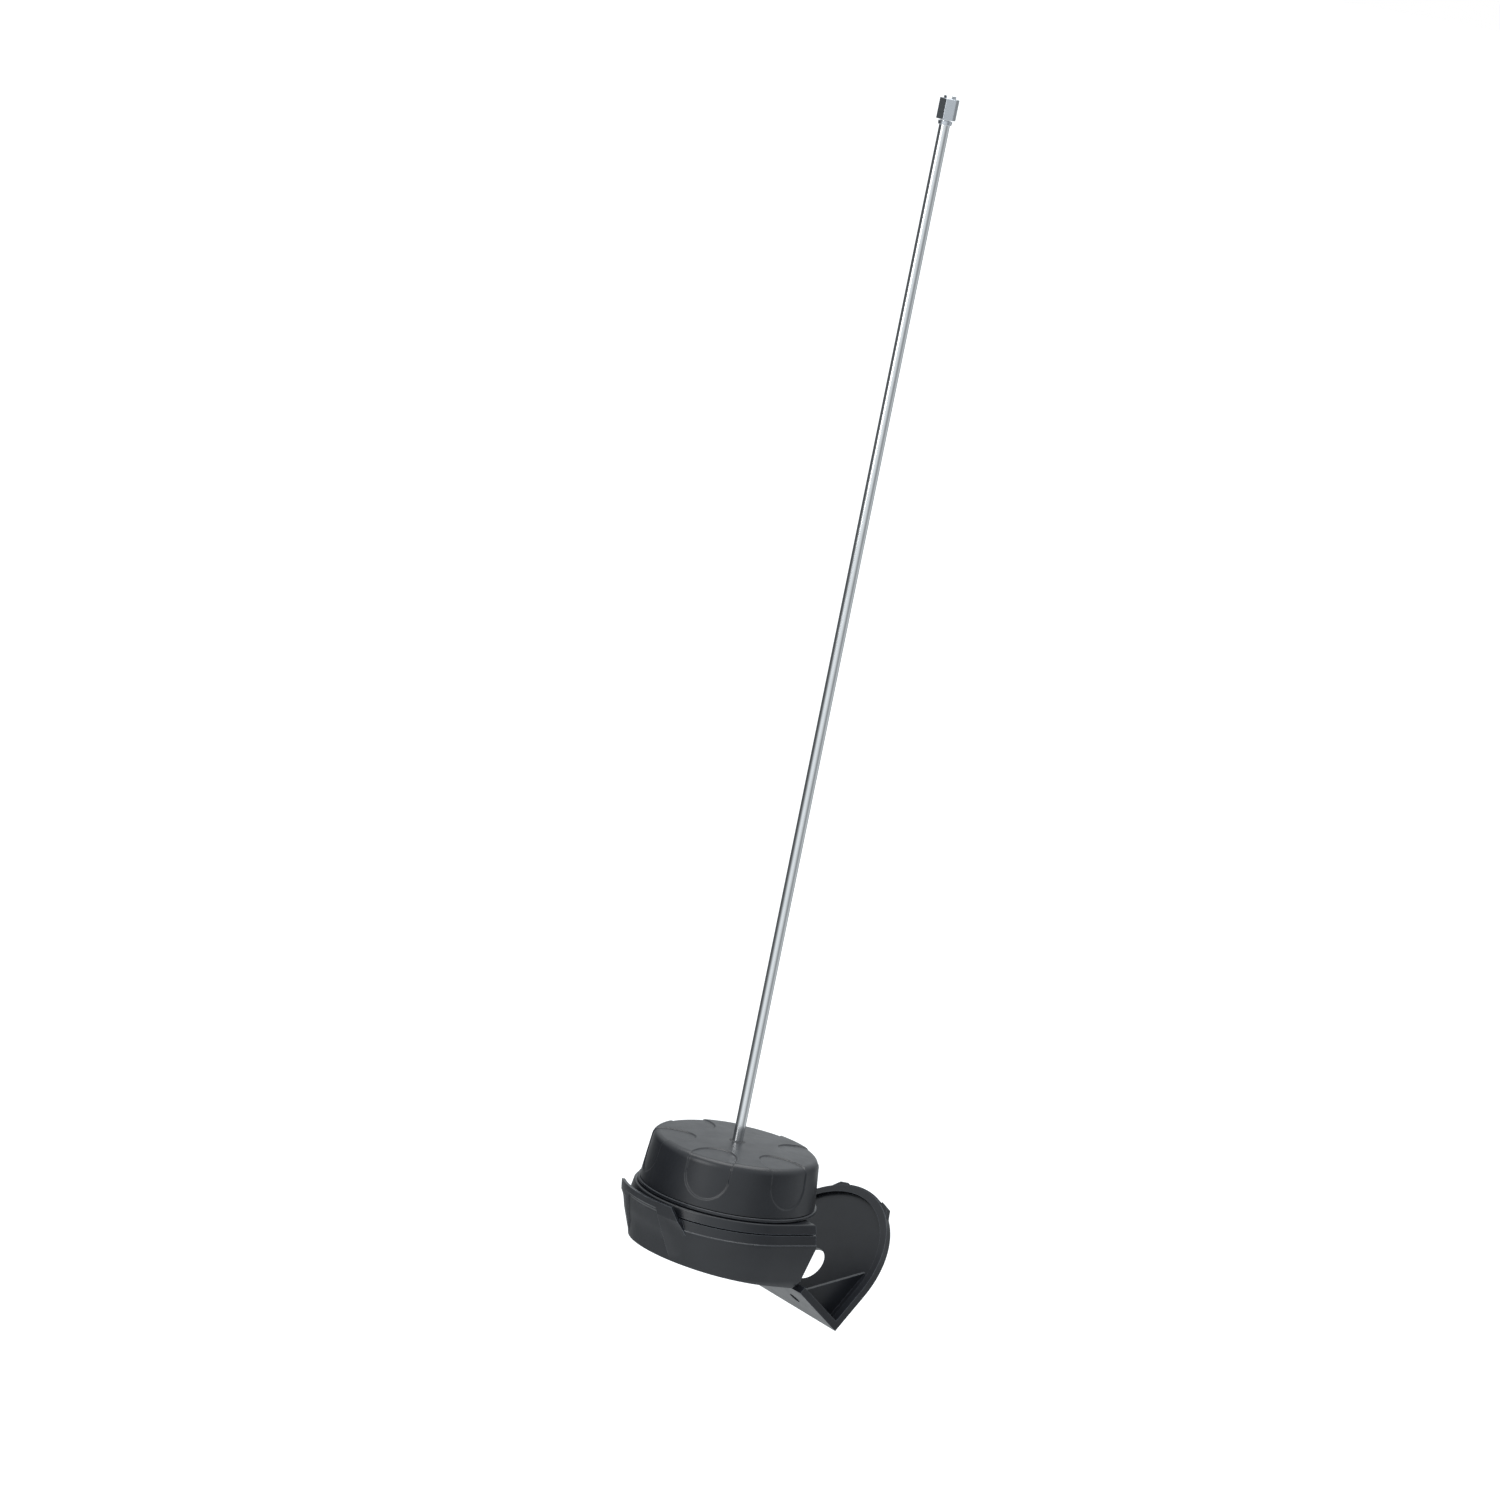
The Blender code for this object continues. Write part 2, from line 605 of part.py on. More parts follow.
def make_cradle():
    outside = []
    for height, wider, longer, shift in CRADLE_LEVELS:
        outside.append(arch(ARCH_RADIUS + wider, ARCH_STRAIGHT + longer, height, shift))
    deck_under = CRADLE_TOP - CRADLE_DECK
    inside = [arch(ARCH_RADIUS - SKIRT_WALL, ARCH_STRAIGHT - SKIRT_WALL, deck_under)]
    for height, wider, longer, shift in CRADLE_LEVELS[3:]:
        radius = ARCH_RADIUS + wider - SKIRT_WALL
        inside.append(arch(radius, ARCH_STRAIGHT + longer - SKIRT_WALL, height, shift))
    inside.append([(x, y, z - MM) for x, y, z in inside[-1]])
    shell = loft("cradle_shell", outside, BODY_PLASTIC)
    join(shell, make_crown_tab())
    cut(shell, loft("cradle_cavity", inside))
    low = box("skirt_trim", (-90 * MM, -90 * MM, -60 * MM), (90 * MM, 90 * MM, 0))
    low.location.z = SKIRT_CUT_HEIGHT
    low.rotation_euler.y = SKIRT_CUT_SLOPE
    cut(shell, low)
    notch_y = TONGUE_HALF_WIDTH + 2 * MM
    cut(shell, box("hinge_notch", (12 * MM, -notch_y, -45 * MM), (30 * MM, notch_y, -19 * MM)))
    lug_start = TONGUE_HALF_WIDTH + WASHER_THICKNESS + 2 * GAP
    for side in (-1, 1):
        near = side * lug_start
        far = side * (lug_start + LUG_THICKNESS)
        lug = box(
            f"lug_{side + 1}",
            (HINGE.x - LUG_RADIUS, min(near, far), HINGE.z),
            (HINGE.x + LUG_RADIUS, max(near, far), deck_under + MM),
        )
        join(shell, lug)
        end = cylinder(f"lug_end_{side + 1}", LUG_RADIUS, (HINGE.x, near, HINGE.z), (HINGE.x, far, HINGE.z))
        join(shell, end)
    pin_bore = PIN_RADIUS + GAP
    cut(shell, cylinder("lug_bore", pin_bore, (HINGE.x, -35 * MM, HINGE.z), (HINGE.x, 35 * MM, HINGE.z)))
    cut(shell, cylinder("deck_bore", CONNECTOR_RADIUS + GAP, (0, 0, -12 * MM), (0, 0, 0), None, 24))
    for index, (x, y) in enumerate(SCREW_SPOTS):
        cut(shell, cylinder(f"deck_hole_{index}", SCREW_SHANK_HOLE, (x, y, -12 * MM), (x, y, 0)))
    return shell


def smooth_step(value):
    value = max(0.0, min(1.0, value))
    return value * value * (3 - 2 * value)


def tab_section(inner, outer, side, half_angle, height):
    """One level of the crown tab: its outer face falls from outer to side near its two ends."""
    half = math.radians(half_angle)
    outline = []
    for step in range(TAB_STEPS + 1):
        angle = half - 2 * half * step / TAB_STEPS
        share = smooth_step((half - abs(angle)) / TAB_SIDE_FADE)
        radius = (side + (outer - side) * share) * MM
        outline.append((-radius * math.cos(angle), radius * math.sin(angle), height * MM))
    for step in range(TAB_STEPS + 1):
        angle = 2 * half * step / TAB_STEPS - half
        outline.append((-inner * MM * math.cos(angle), inner * MM * math.sin(angle), height * MM))
    return outline


def make_crown_tab():
    """The lip at the crown: stands clear of the band at the top and runs into the skirt lower down."""
    tab = loft("crown_tab", [tab_section(*level) for level in TAB_LEVELS])
    panel = loft("tab_panel", [
        sector(radius * MM, PANEL_REACH, half_angle, height * MM, TAB_STEPS)
        for radius, half_angle, height in PANEL_LEVELS
    ])
    cut(tab, panel)
    return tab


def place_in_bracket(piece):
    """Turns a bracket-frame piece into the world: out of the wall along X, up the plate along Z."""
    piece.rotation_euler = (0, -TILT, math.pi)
    piece.location = bracket_point(0, 0, 0) + PUCK_ORIGIN


def wall_outline(inset, x):
    """The arch outline stood upright in the bracket frame, crown up, inset evenly."""
    flat = arch(ARCH_RADIUS - inset, ARCH_STRAIGHT - inset, 0.0)
    return [(x, y, ARCH_STRAIGHT - along) for along, y, _ in flat]


def make_bracket():
    bracket = loft("tilt_bracket", [wall_outline(0, 0.0), wall_outline(0, WALL_RIM_HEIGHT)], BODY_PLASTIC)
    cut(bracket, loft("wall_recess", [
        wall_outline(WALL_RIM_WIDTH, WALL_PLATE),
        wall_outline(WALL_RIM_WIDTH, WALL_RIM_HEIGHT + MM),
    ]))
    pieces = [box("foot", (WALL_PLATE / 2, -ARCH_RADIUS, 0), (FOOT_LENGTH, ARCH_RADIUS, FOOT_THICKNESS))]
    tongue_end = HINGE_X - PIN_RADIUS
    pieces.append(box(
        "tongue",
        (FOOT_LENGTH - MM, -TONGUE_HALF_WIDTH, 0.4 * MM),
        (tongue_end, TONGUE_HALF_WIDTH, FOOT_THICKNESS - 0.4 * MM),
    ))
    knuckle_start = (HINGE_X, -TONGUE_HALF_WIDTH + 0.05 * MM, HINGE_Z)
    knuckle_end = (HINGE_X, TONGUE_HALF_WIDTH - 0.05 * MM, HINGE_Z)
    pieces.append(cylinder("knuckle", KNUCKLE_RADIUS, knuckle_start, knuckle_end))
    for side in (-1, 1):
        centre = side * GUSSET_Y
        triangle = [
            (WALL_PLATE - MM, FOOT_THICKNESS - MM),
            (GUSSET_LENGTH, FOOT_THICKNESS - MM),
            (WALL_PLATE - MM, GUSSET_HEIGHT),
        ]
        sections = []
        for y in (centre - GUSSET_THICKNESS / 2, centre + GUSSET_THICKNESS / 2):
            sections.append([(x, y, z) for x, z in triangle])
        pieces.append(loft(f"gusset_{side + 1}", sections))
        pieces.append(make_prong(side))
    crown = sector(WALL_TAB_INNER, WALL_TAB_OUTER, WALL_TAB_HALF_ANGLE, 0.0)
    sections = []
    for x in WALL_TAB_REACH:
        sections.append([(x, y, ARCH_STRAIGHT - along) for along, y, _ in crown])
    pieces.append(loft("wall_tab", sections))
    for piece in pieces:
        join(bracket, piece)
    centre = ARCH_STRAIGHT
    cutters = [cylinder("cable_hole", CABLE_HOLE_RADIUS, (-9 * MM, 0, centre), (9 * MM, 0, centre), None, 32)]
    for y in (-SCREW_HOLE_Y, SCREW_HOLE_Y):
        name = "screw_hole_left" if y < 0 else "screw_hole_right"
        ends = ((SCREW_HOLE_X, y, -9 * MM), (SCREW_HOLE_X, y, 9 * MM))
        cutters.append(cylinder(name, SCREW_HOLE_RADIUS, *ends))
    pin_bore = PIN_RADIUS + GAP
    ends = ((HINGE_X, -30 * MM, HINGE_Z), (HINGE_X, 30 * MM, HINGE_Z))
    cutters.append(cylinder("knuckle_bore", pin_bore, *ends))
    for cutter in cutters:
        cut(bracket, cutter)
    place_in_bracket(bake(bracket))


def make_prong(side):
    """A low wedge beside the wall plate's crown tab: steep towards the tab, a long ramp away from it."""
    outline = []
    for radius, angle in PRONG_OUTLINE:
        turn = math.radians(angle) * side
        outline.append((radius * MM * math.sin(turn), ARCH_STRAIGHT + radius * MM * math.cos(turn)))
    sections = [[(x, y, z) for y, z in outline] for x in PRONG_REACH]
    return loft(f"prong_{side + 1}", sections)


def make_hinge_parts():
    washer_start = TONGUE_HALF_WIDTH + GAP
    clip_start = TONGUE_HALF_WIDTH + WASHER_THICKNESS + 3 * GAP + LUG_THICKNESS
    pin_end = clip_start + CLIP_THICKNESS + PIN_STANDS
    start = (HINGE.x, -pin_end, HINGE.z)
    end = (HINGE.x, pin_end, HINGE.z)
    pin = cylinder("hinge_pin", PIN_RADIUS, start, end, STEEL)
    rings = []
    for side, word in ((-1, "left"), (1, "right")):
        rings.append(ring_on_pin(f"hinge_washer_{word}", side, washer_start, WASHER_THICKNESS, WASHER_RADIUS))
        rings.append(ring_on_pin(f"hinge_clip_{word}", side, clip_start, CLIP_THICKNESS, CLIP_RADIUS))
    return [pin] + rings


def ring_on_pin(name, side, start, thickness, radius):
    near = side * start
    far = side * (start + thickness)
    piece = cylinder(name, radius, (HINGE.x, near, HINGE.z), (HINGE.x, far, HINGE.z), STEEL)
    hole_ends = ((HINGE.x, near - side * MM, HINGE.z), (HINGE.x, far + side * MM, HINGE.z))
    cut(piece, cylinder(f"{name}_hole", PIN_RADIUS + GAP, *hole_ends))
    return piece


def empty(name, location):
    made = bpy.data.objects.new(name, None)
    made.location = location
    PARTS.objects.link(made)
    return made


def attach(pieces, pivot):
    """Parents puck-frame pieces to a pivot that lies on their joint's axis."""
    offset = PUCK_ORIGIN - pivot.location
    for piece in pieces:
        bake(piece)
        piece.location = piece.location + offset
        piece.parent = pivot


def main():
    tilt_pivot = empty("tilt_pivot", HINGE + PUCK_ORIGIN)
    twist_pivot = empty("twist_pivot", PUCK_ORIGIN)
    attach(make_whip() + make_dome(), twist_pivot)
    cradle_pieces = [make_cradle()] + make_plate() + make_puck_base() + make_connector()
    attach(cradle_pieces, tilt_pivot)
    attach(make_hinge_parts(), tilt_pivot)
    make_bracket()


main()
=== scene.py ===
import json
import math

import bmesh
import bpy
from mathutils import Matrix, Vector


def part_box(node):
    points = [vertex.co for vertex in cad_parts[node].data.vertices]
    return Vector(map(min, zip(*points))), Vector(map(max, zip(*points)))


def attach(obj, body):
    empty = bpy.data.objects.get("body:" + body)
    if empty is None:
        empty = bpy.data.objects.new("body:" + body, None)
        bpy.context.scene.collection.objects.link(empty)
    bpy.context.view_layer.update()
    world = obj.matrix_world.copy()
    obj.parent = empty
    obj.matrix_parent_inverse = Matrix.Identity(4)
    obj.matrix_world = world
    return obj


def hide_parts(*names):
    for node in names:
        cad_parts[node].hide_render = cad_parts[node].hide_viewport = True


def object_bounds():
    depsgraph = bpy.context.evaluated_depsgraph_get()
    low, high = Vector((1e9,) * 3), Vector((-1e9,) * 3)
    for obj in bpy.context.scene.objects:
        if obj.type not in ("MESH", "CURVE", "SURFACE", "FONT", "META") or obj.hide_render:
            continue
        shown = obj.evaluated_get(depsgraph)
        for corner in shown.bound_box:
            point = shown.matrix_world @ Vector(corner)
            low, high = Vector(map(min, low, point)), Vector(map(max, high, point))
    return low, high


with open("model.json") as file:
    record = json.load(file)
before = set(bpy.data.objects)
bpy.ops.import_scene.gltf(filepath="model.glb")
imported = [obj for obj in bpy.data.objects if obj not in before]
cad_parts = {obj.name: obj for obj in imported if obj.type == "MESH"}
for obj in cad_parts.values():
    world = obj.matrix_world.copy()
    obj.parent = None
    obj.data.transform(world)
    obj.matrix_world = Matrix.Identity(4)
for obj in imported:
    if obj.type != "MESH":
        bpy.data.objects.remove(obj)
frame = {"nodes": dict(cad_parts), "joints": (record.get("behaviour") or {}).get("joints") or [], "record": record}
CAD_LOW, CAD_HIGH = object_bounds()

MM = 0.001
GAP = 0.3 * MM
SNUG = 0.05 * MM
ROUND_STEPS = 180
ARC_STEPS = 72
SMALL_STEPS = 48
WHIP_STEPS = 64
ON_AXIS = 0.01 * MM
MERGE_DISTANCE = 0.02 * MM
FLAT_ANGLE = math.radians(0.3)
EDGE_ANGLE = math.radians(30.0)
EDGE_SEGMENTS = 3
MOULDED_EDGE = 0.25 * MM
MACHINED_EDGE = 0.12 * MM

JOINTS = {joint["name"]: joint for joint in frame["joints"]}
PUCK = Vector(JOINTS["cover_twist"]["pos_m"])
HINGE = Vector(JOINTS["cradle_tilt"]["pos_m"]) - PUCK

# Heights below are in the puck frame: origin on the whip axis, at the mounting plate's top face
ROD_RADIUS = 2.5 * MM
ROD_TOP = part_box("whip_rod")[1].z - PUCK.z
COLLAR_HEIGHT = 1.8 * MM
COLLAR_TOP_RADIUS = 3.3 * MM
COLLAR_BOTTOM_RADIUS = 3.1 * MM
TIP_NUT_RADIUS = 4.6 * MM
TIP_NUT_TURN = math.radians(6.3)
TIP_CROWN_RADIUS = 2.95 * MM
TIP_CROWN_HEIGHT = 1.3 * MM
TIP_SLOT_WIDTH = 1.8 * MM
TIP_SLOT_DEPTH = 1.1 * MM
TIP_SLOT_TURN = math.radians(53.3)

DOME_CROWN = 1.0 * MM
DOME_TOP = 25.3 * MM
DOME_BOTTOM = 2.3 * MM
DOME_TOP_RADIUS = 40.1 * MM
DOME_BOTTOM_RADIUS = 42.4 * MM
DOME_EDGE_ROUND = 4.0 * MM
DOME_WALL = 2.2 * MM
DOME_BORE = 3.9 * MM
BOOT_STANDS = 0.45 * MM
GRIP_COUNT = 6
GRIP_DEPTH = 0.5 * MM
GRIP_RADIUS = 10.9 * MM
GRIP_TOP_CENTRE = 36.0 * MM
GRIP_TOP_REACH = 16.0 * MM
GRIP_SIDE_CENTRE = 16.8 * MM
GRIP_FIRST_ANGLE = math.radians(217.0)
GRIP_EDGE = 0.4 * MM
DOME_TURN_STEPS = 720

# Puck base: inner and outer radius of its wall, and the radius of its rim
BASE_WALL_RADII = (35.0 * MM, 37.0 * MM, 42.9 * MM)
BASE_FLOOR = 2.0 * MM
BASE_WALL_TOP = 10.0 * MM

ARCH_RADIUS = 44.4 * MM
ARCH_STRAIGHT = 21.4 * MM
PLATE_THICKNESS = 4.8 * MM
CRADLE_TOP = -PLATE_THICKNESS - GAP
# The cradle's outline by level: height, added radius, added straight length, shift of the arc
CRADLE_LEVELS = (
    (CRADLE_TOP, 0.7 * MM, 0.7 * MM, 0.0),
    (-9.5 * MM, 1.2 * MM, 1.3 * MM, 0.0),
    (-9.8 * MM, 1.6 * MM, 1.6 * MM, 0.0),
    (-11.5 * MM, 1.5 * MM, 1.5 * MM, 0.0),
    (-28.0 * MM, -1.0 * MM, -1.8 * MM, 1.8 * MM),
    (-32.0 * MM, -3.0 * MM, -4.0 * MM, 2.5 * MM),
    (-38.0 * MM, -6.0 * MM, -7.0 * MM, 2.5 * MM),
)
SKIRT_WALL = 2.2 * MM
CRADLE_DECK = 2.4 * MM
SKIRT_CUT_HEIGHT = -30.6 * MM
SKIRT_CUT_SLOPE = math.atan(0.1)
# Opening in the skirt for the bracket's tongue: along X, then its height
NOTCH_SPAN = ((12.0 * MM, 30.0 * MM), (-45.0 * MM, -19.0 * MM))

# Crown tab of the cradle, in millimetres and degrees: inner radius, outer radius, outer radius
# at its two sides, half angle, height. Low down, its sides run into the skirt.
TAB_LEVELS = (
    (49.4, 50.9, 50.9, 24.4, 0.6),
    (47.9, 49.6, 49.6, 29.1, -5.5),
    (44.7, 49.5, 49.5, 29.3, -5.7),
    (44.3, 48.3, 47.0, 32.3, -9.6),
    (43.9, 47.3, 45.5, 34.0, -12.7),
    (42.0, 43.8, 43.2, 36.0, -21.9),
    (38.5, 40.0, 39.6, 37.0, -31.0),
)
TAB_SIDE_FADE = math.radians(10.0)
TAB_STEPS = 150
TAB_ROWS_PER_LEVEL = 14
# The tab's sunken panel: half angle and height of its edge, from the bottom up
PANEL_EDGE = ((25.6, -33.0), (24.0, -26.2), (22.2, -21.9), (18.5, -12.7), (14.5, -2.6))
PANEL_TOP = -2.6
PANEL_DEPTH = 1.1
PANEL_STEP = 0.4
PANEL_LEDGE = 1.3

# Bracket: X runs along its foot and Z up its wall plate, from a heel placed in the puck frame
TILT = math.radians(37.0)
HEEL_X = 45.4 * MM
HEEL_Z = -52.7 * MM
WALL_PLATE = 2.0 * MM
WALL_RIM_HEIGHT = 3.6 * MM
WALL_RIM_WIDTH = 3.7 * MM
CABLE_HOLE_RADIUS = 8.8 * MM
FOOT_THICKNESS = 3.6 * MM
FOOT_LENGTH = 31.5 * MM
TONGUE_HALF_WIDTH = 22.3 * MM
TONGUE_STEP = 0.4 * MM
SCREW_HOLE_RADIUS = 3.0 * MM
SCREW_HOLE_X = 16.9 * MM
SCREW_HOLE_Y = 26.3 * MM
GUSSET_Y = 35.6 * MM
GUSSET_THICKNESS = 1.6 * MM
GUSSET_HEIGHT = 32.4 * MM
GUSSET_LENGTH = 25.0 * MM
# Rim details at the wall plate's crown. Prongs are in millimetres and degrees from the crown.
WALL_TAB_INNER = 43.0 * MM
WALL_TAB_OUTER = 45.2 * MM
WALL_TAB_HALF_ANGLE = 16.5
WALL_TAB_REACH = (0.1 * MM, 3.0 * MM)
PRONG_OUTLINE = ((43.2, 18.0), (46.0, 18.0), (46.7, 24.5), (44.2, 32.0), (43.2, 32.0))
PRONG_REACH = (0.2 * MM, 3.2 * MM)
HINGE_X = 44.0 * MM
HINGE_Z = FOOT_THICKNESS / 2
KNUCKLE_RADIUS = 4.0 * MM
PIN_RADIUS = 2.0 * MM
WASHER_THICKNESS = 0.6 * MM
LUG_RADIUS = 5.0 * MM
LUG_THICKNESS = 3.5 * MM
CONNECTOR_RADIUS = 5.5 * MM
SCREW_SPOTS = ((-26 * MM, -26 * MM), (-26 * MM, 26 * MM), (6 * MM, -35 * MM), (6 * MM, 35 * MM))
SCREW_RADIUS = 2.0 * MM
SCREW_REACH = -1.2 * MM

CAMERA_PLACE = (-1.48966, -1.88341, 0.68468)
CAMERA_TURN = (79.609, -11.210, -34.634)
CAMERA_LENS = 124.63
TOWARDS_CAMERA = Vector((-0.598, -0.801, 0.0))
CAMERA_RIGHT = Vector((0.801, -0.598, 0.0))
FLOOR_DROP = 0.6
FLOOR_SIZE = 60.0
COOL = (0.93, 0.975, 1.0)


# ---------------------------------------------------------------- materials

def shader_of(name):
    made = bpy.data.materials.new(name)
    made.use_nodes = True
    return made, made.node_tree.nodes, made.node_tree.links, made.node_tree.nodes["Principled BSDF"]


def noise(nodes, links, scale, detail=3.0, stretch=(1, 1, 1)):
    """A noise texture in object coordinates, in cells per metre, stretched along an axis if asked."""
    place = nodes.new("ShaderNodeTexCoord")
    mapping = nodes.new("ShaderNodeMapping")
    mapping.inputs["Scale"].default_value = stretch
    texture = nodes.new("ShaderNodeTexNoise")
    texture.inputs["Scale"].default_value = scale
    texture.inputs["Detail"].default_value = detail
    links.new(place.outputs["Object"], mapping.inputs["Vector"])
    links.new(mapping.outputs["Vector"], texture.inputs["Vector"])
    return texture.outputs["Fac"]


def between(nodes, links, value, low, high):
    """Maps the middle of a noise, 0.3 to 0.7, to a range."""
    mapped = nodes.new("ShaderNodeMapRange")
    mapped.inputs["From Min"].default_value = 0.3
    mapped.inputs["From Max"].default_value = 0.7
    mapped.inputs["To Min"].default_value = low
    mapped.inputs["To Max"].default_value = high
    links.new(value, mapped.inputs["Value"])
    return mapped.outputs["Result"]


def mix_colour(nodes, links, share, first, second):
    mixer = nodes.new("ShaderNodeMix")
    mixer.data_type = "RGBA"
    links.new(share, mixer.inputs["Factor"])
    for socket, value in ((mixer.inputs[6], first), (mixer.inputs[7], second)):
        if isinstance(value, tuple):
            socket.default_value = (*value, 1.0)
        else:
            links.new(value, socket)
    return mixer.outputs[2]


def bump(nodes, links, height, depth, strength):
    made = nodes.new("ShaderNodeBump")
    made.inputs["Distance"].default_value = depth
    made.inputs["Strength"].default_value = strength
    links.new(height, made.inputs["Height"])
    return made


def edge_mask(nodes, links, radius):
    """1 along edges, 0 on flats: how far a rounded normal turns from the true one."""
    rounded = nodes.new("ShaderNodeBevel")
    rounded.samples = 4
    rounded.inputs["Radius"].default_value = radius
    geometry = nodes.new("ShaderNodeNewGeometry")
    likeness = nodes.new("ShaderNodeVectorMath")
    likeness.operation = "DOT_PRODUCT"
    mask = nodes.new("ShaderNodeMapRange")
    mask.inputs["From Min"].default_value = 0.985
    mask.inputs["From Max"].default_value = 0.80
    links.new(rounded.outputs["Normal"], likeness.inputs[0])
    links.new(geometry.outputs["Normal"], likeness.inputs[1])
    links.new(likeness.outputs["Value"], mask.inputs["Value"])
    return mask.outputs["Result"]


def moulded_plastic(name, dark, light, edge_highlight, roughness):
    """Satin moulding: cloudy tone, fine spark-eroded grain, and a patchy painted highlight that makes the edges
    lighter.
    """
    made, nodes, links, shader = shader_of(name)
    clouds = between(nodes, links, noise(nodes, links, 55.0), 0.0, 1.0)
    tone = mix_colour(nodes, links, clouds, dark, light)
    # Painted highlight: along the edges, in patches, the tone is painted towards a much lighter colour, as if lit.
    edges = nodes.new("ShaderNodeMath")
    edges.operation = "MULTIPLY"
    links.new(edge_mask(nodes, links, 0.5 * MM), edges.inputs[0])
    links.new(between(nodes, links, noise(nodes, links, 700.0), 0.25, 0.7), edges.inputs[1])
    links.new(mix_colour(nodes, links, edges.outputs["Value"], tone, edge_highlight), shader.inputs["Base Color"])
    patches = between(nodes, links, noise(nodes, links, 130.0, 5.0), roughness - 0.03, roughness + 0.04)
    links.new(patches, shader.inputs["Roughness"])
    grain = bump(nodes, links, noise(nodes, links, 3200.0, 2.0), 0.03 * MM, 0.22)
    links.new(grain.outputs["Normal"], shader.inputs["Normal"])
    return made


def worked_metal(name, colour, tarnish, roughness, spread, stretch, scale=900.0, depth=0.004 * MM):
    """Drawn, turned or brushed metal: tool marks are noise stretched along the working direction."""
    made, nodes, links, shader = shader_of(name)
    shader.inputs["Metallic"].default_value = 1.0
    marks = noise(nodes, links, scale, 4.0, stretch)
    blotches = between(nodes, links, noise(nodes, links, 90.0, 4.0), 0.0, 1.0)
    links.new(mix_colour(nodes, links, blotches, colour, tarnish), shader.inputs["Base Color"])
    gloss = between(nodes, links, marks, roughness - spread, roughness + spread)
    links.new(gloss, shader.inputs["Roughness"])
    lines = bump(nodes, links, marks, depth, 0.3)
    links.new(lines.outputs["Normal"], shader.inputs["Normal"])
    return made


def soft_rubber(name):
    made, nodes, links, shader = shader_of(name)
    bloom = between(nodes, links, noise(nodes, links, 240.0, 5.0), 0.0, 1.0)
    tone = mix_colour(nodes, links, bloom, (0.016, 0.017, 0.019), (0.03, 0.032, 0.035))
    links.new(tone, shader.inputs["Base Color"])
    links.new(between(nodes, links, bloom, 0.45, 0.6), shader.inputs["Roughness"])
    skin = bump(nodes, links, noise(nodes, links, 2400.0), 0.05 * MM, 0.4)
    links.new(skin.outputs["Normal"], shader.inputs["Normal"])
    return made


def circuit_board(name):
    """Green solder mask over copper, whose tracks show as slightly raised, lighter bands."""
    made, nodes, links, shader = shader_of(name)
    tracks = nodes.new("ShaderNodeTexBrick")
    tracks.inputs["Scale"].default_value = 160.0
    tracks.inputs["Mortar Size"].default_value = 0.06
    place = nodes.new("ShaderNodeTexCoord")
    links.new(place.outputs["Object"], tracks.inputs["Vector"])
    mask = mix_colour(nodes, links, tracks.outputs["Fac"], (0.012, 0.10, 0.035), (0.03, 0.19, 0.07))
    links.new(mask, shader.inputs["Base Color"])
    links.new(between(nodes, links, noise(nodes, links, 400.0), 0.28, 0.42), shader.inputs["Roughness"])
    relief = bump(nodes, links, tracks.outputs["Fac"], 0.03 * MM, 0.5)
    links.new(relief.outputs["Normal"], shader.inputs["Normal"])
    return made


def all_materials():
    """Finishes by name. The dome has the body's plastic with a much fainter painted edge highlight."""
    along = (1, 1, 0.04)
    around = (0.06, 0.06, 1)
    across = (0.05, 1, 1)
    dark = (0.0075, 0.0085, 0.0115)
    light = (0.011, 0.0125, 0.016)
    return {
        # The third colour of each plastic is its painted edge highlight.
        "body_plastic": moulded_plastic("moulded_plastic", dark, light, (0.14, 0.155, 0.18), 0.34),
        "dome_plastic": moulded_plastic("dome_plastic", dark, light, (0.02, 0.022, 0.026), 0.34),
        "polished_steel": worked_metal(
            "drawn_steel", (0.80, 0.815, 0.83), (0.76, 0.775, 0.79), 0.13, 0.03, along, 900.0, 0.0006 * MM),
        "tip_steel": worked_metal(
            "machined_steel", (0.66, 0.69, 0.73), (0.60, 0.63, 0.68), 0.20, 0.03, around, 1400.0,
            0.0008 * MM),
        "fastener_steel": worked_metal(
            "plated_steel", (0.62, 0.62, 0.60), (0.50, 0.50, 0.47), 0.30, 0.06, around),
        "brass": worked_metal("machined_brass", (0.66, 0.47, 0.19), (0.52, 0.35, 0.13), 0.28, 0.06, around),
        "aluminium": worked_metal(
            "rolled_aluminium", (0.77, 0.78, 0.79), (0.68, 0.69, 0.70), 0.34, 0.07, across),
        "copper": worked_metal(
            "enamelled_copper", (0.70, 0.30, 0.15), (0.55, 0.20, 0.10), 0.26, 0.05, around),
        "rubber": soft_rubber("soft_rubber"),
        "board": circuit_board("circuit_board"),
    }


# ---------------------------------------------------------------- mesh tools

def from_bmesh(name, shape):
    bmesh.ops.recalc_face_normals(shape, faces=shape.faces)
    mesh = bpy.data.meshes.new(name)
    shape.to_mesh(mesh)
    shape.free()
    made = bpy.data.objects.new(name, mesh)
    bpy.context.scene.collection.objects.link(made)
    return made


def box(name, low, high):
    shape = bmesh.new()
    bmesh.ops.create_cube(shape, size=1.0)
    bmesh.ops.scale(shape, vec=Vector(high) - Vector(low), verts=shape.verts)
    bmesh.ops.translate(shape, vec=(Vector(high) + Vector(low)) / 2, verts=shape.verts)
    return from_bmesh(name, shape)


def cylinder(name, radius, start, end, steps=SMALL_STEPS):
    start = Vector(start)
    along = Vector(end) - start
    shape = bmesh.new()
    bmesh.ops.create_cone(
        shape, cap_ends=True, segments=steps, radius1=radius, radius2=radius, depth=along.length)
    turn = Vector((0, 0, 1)).rotation_difference(along).to_matrix().to_4x4()
    bmesh.ops.transform(shape, matrix=Matrix.Translation(start + along / 2) @ turn, verts=shape.verts)
    return from_bmesh(name, shape)


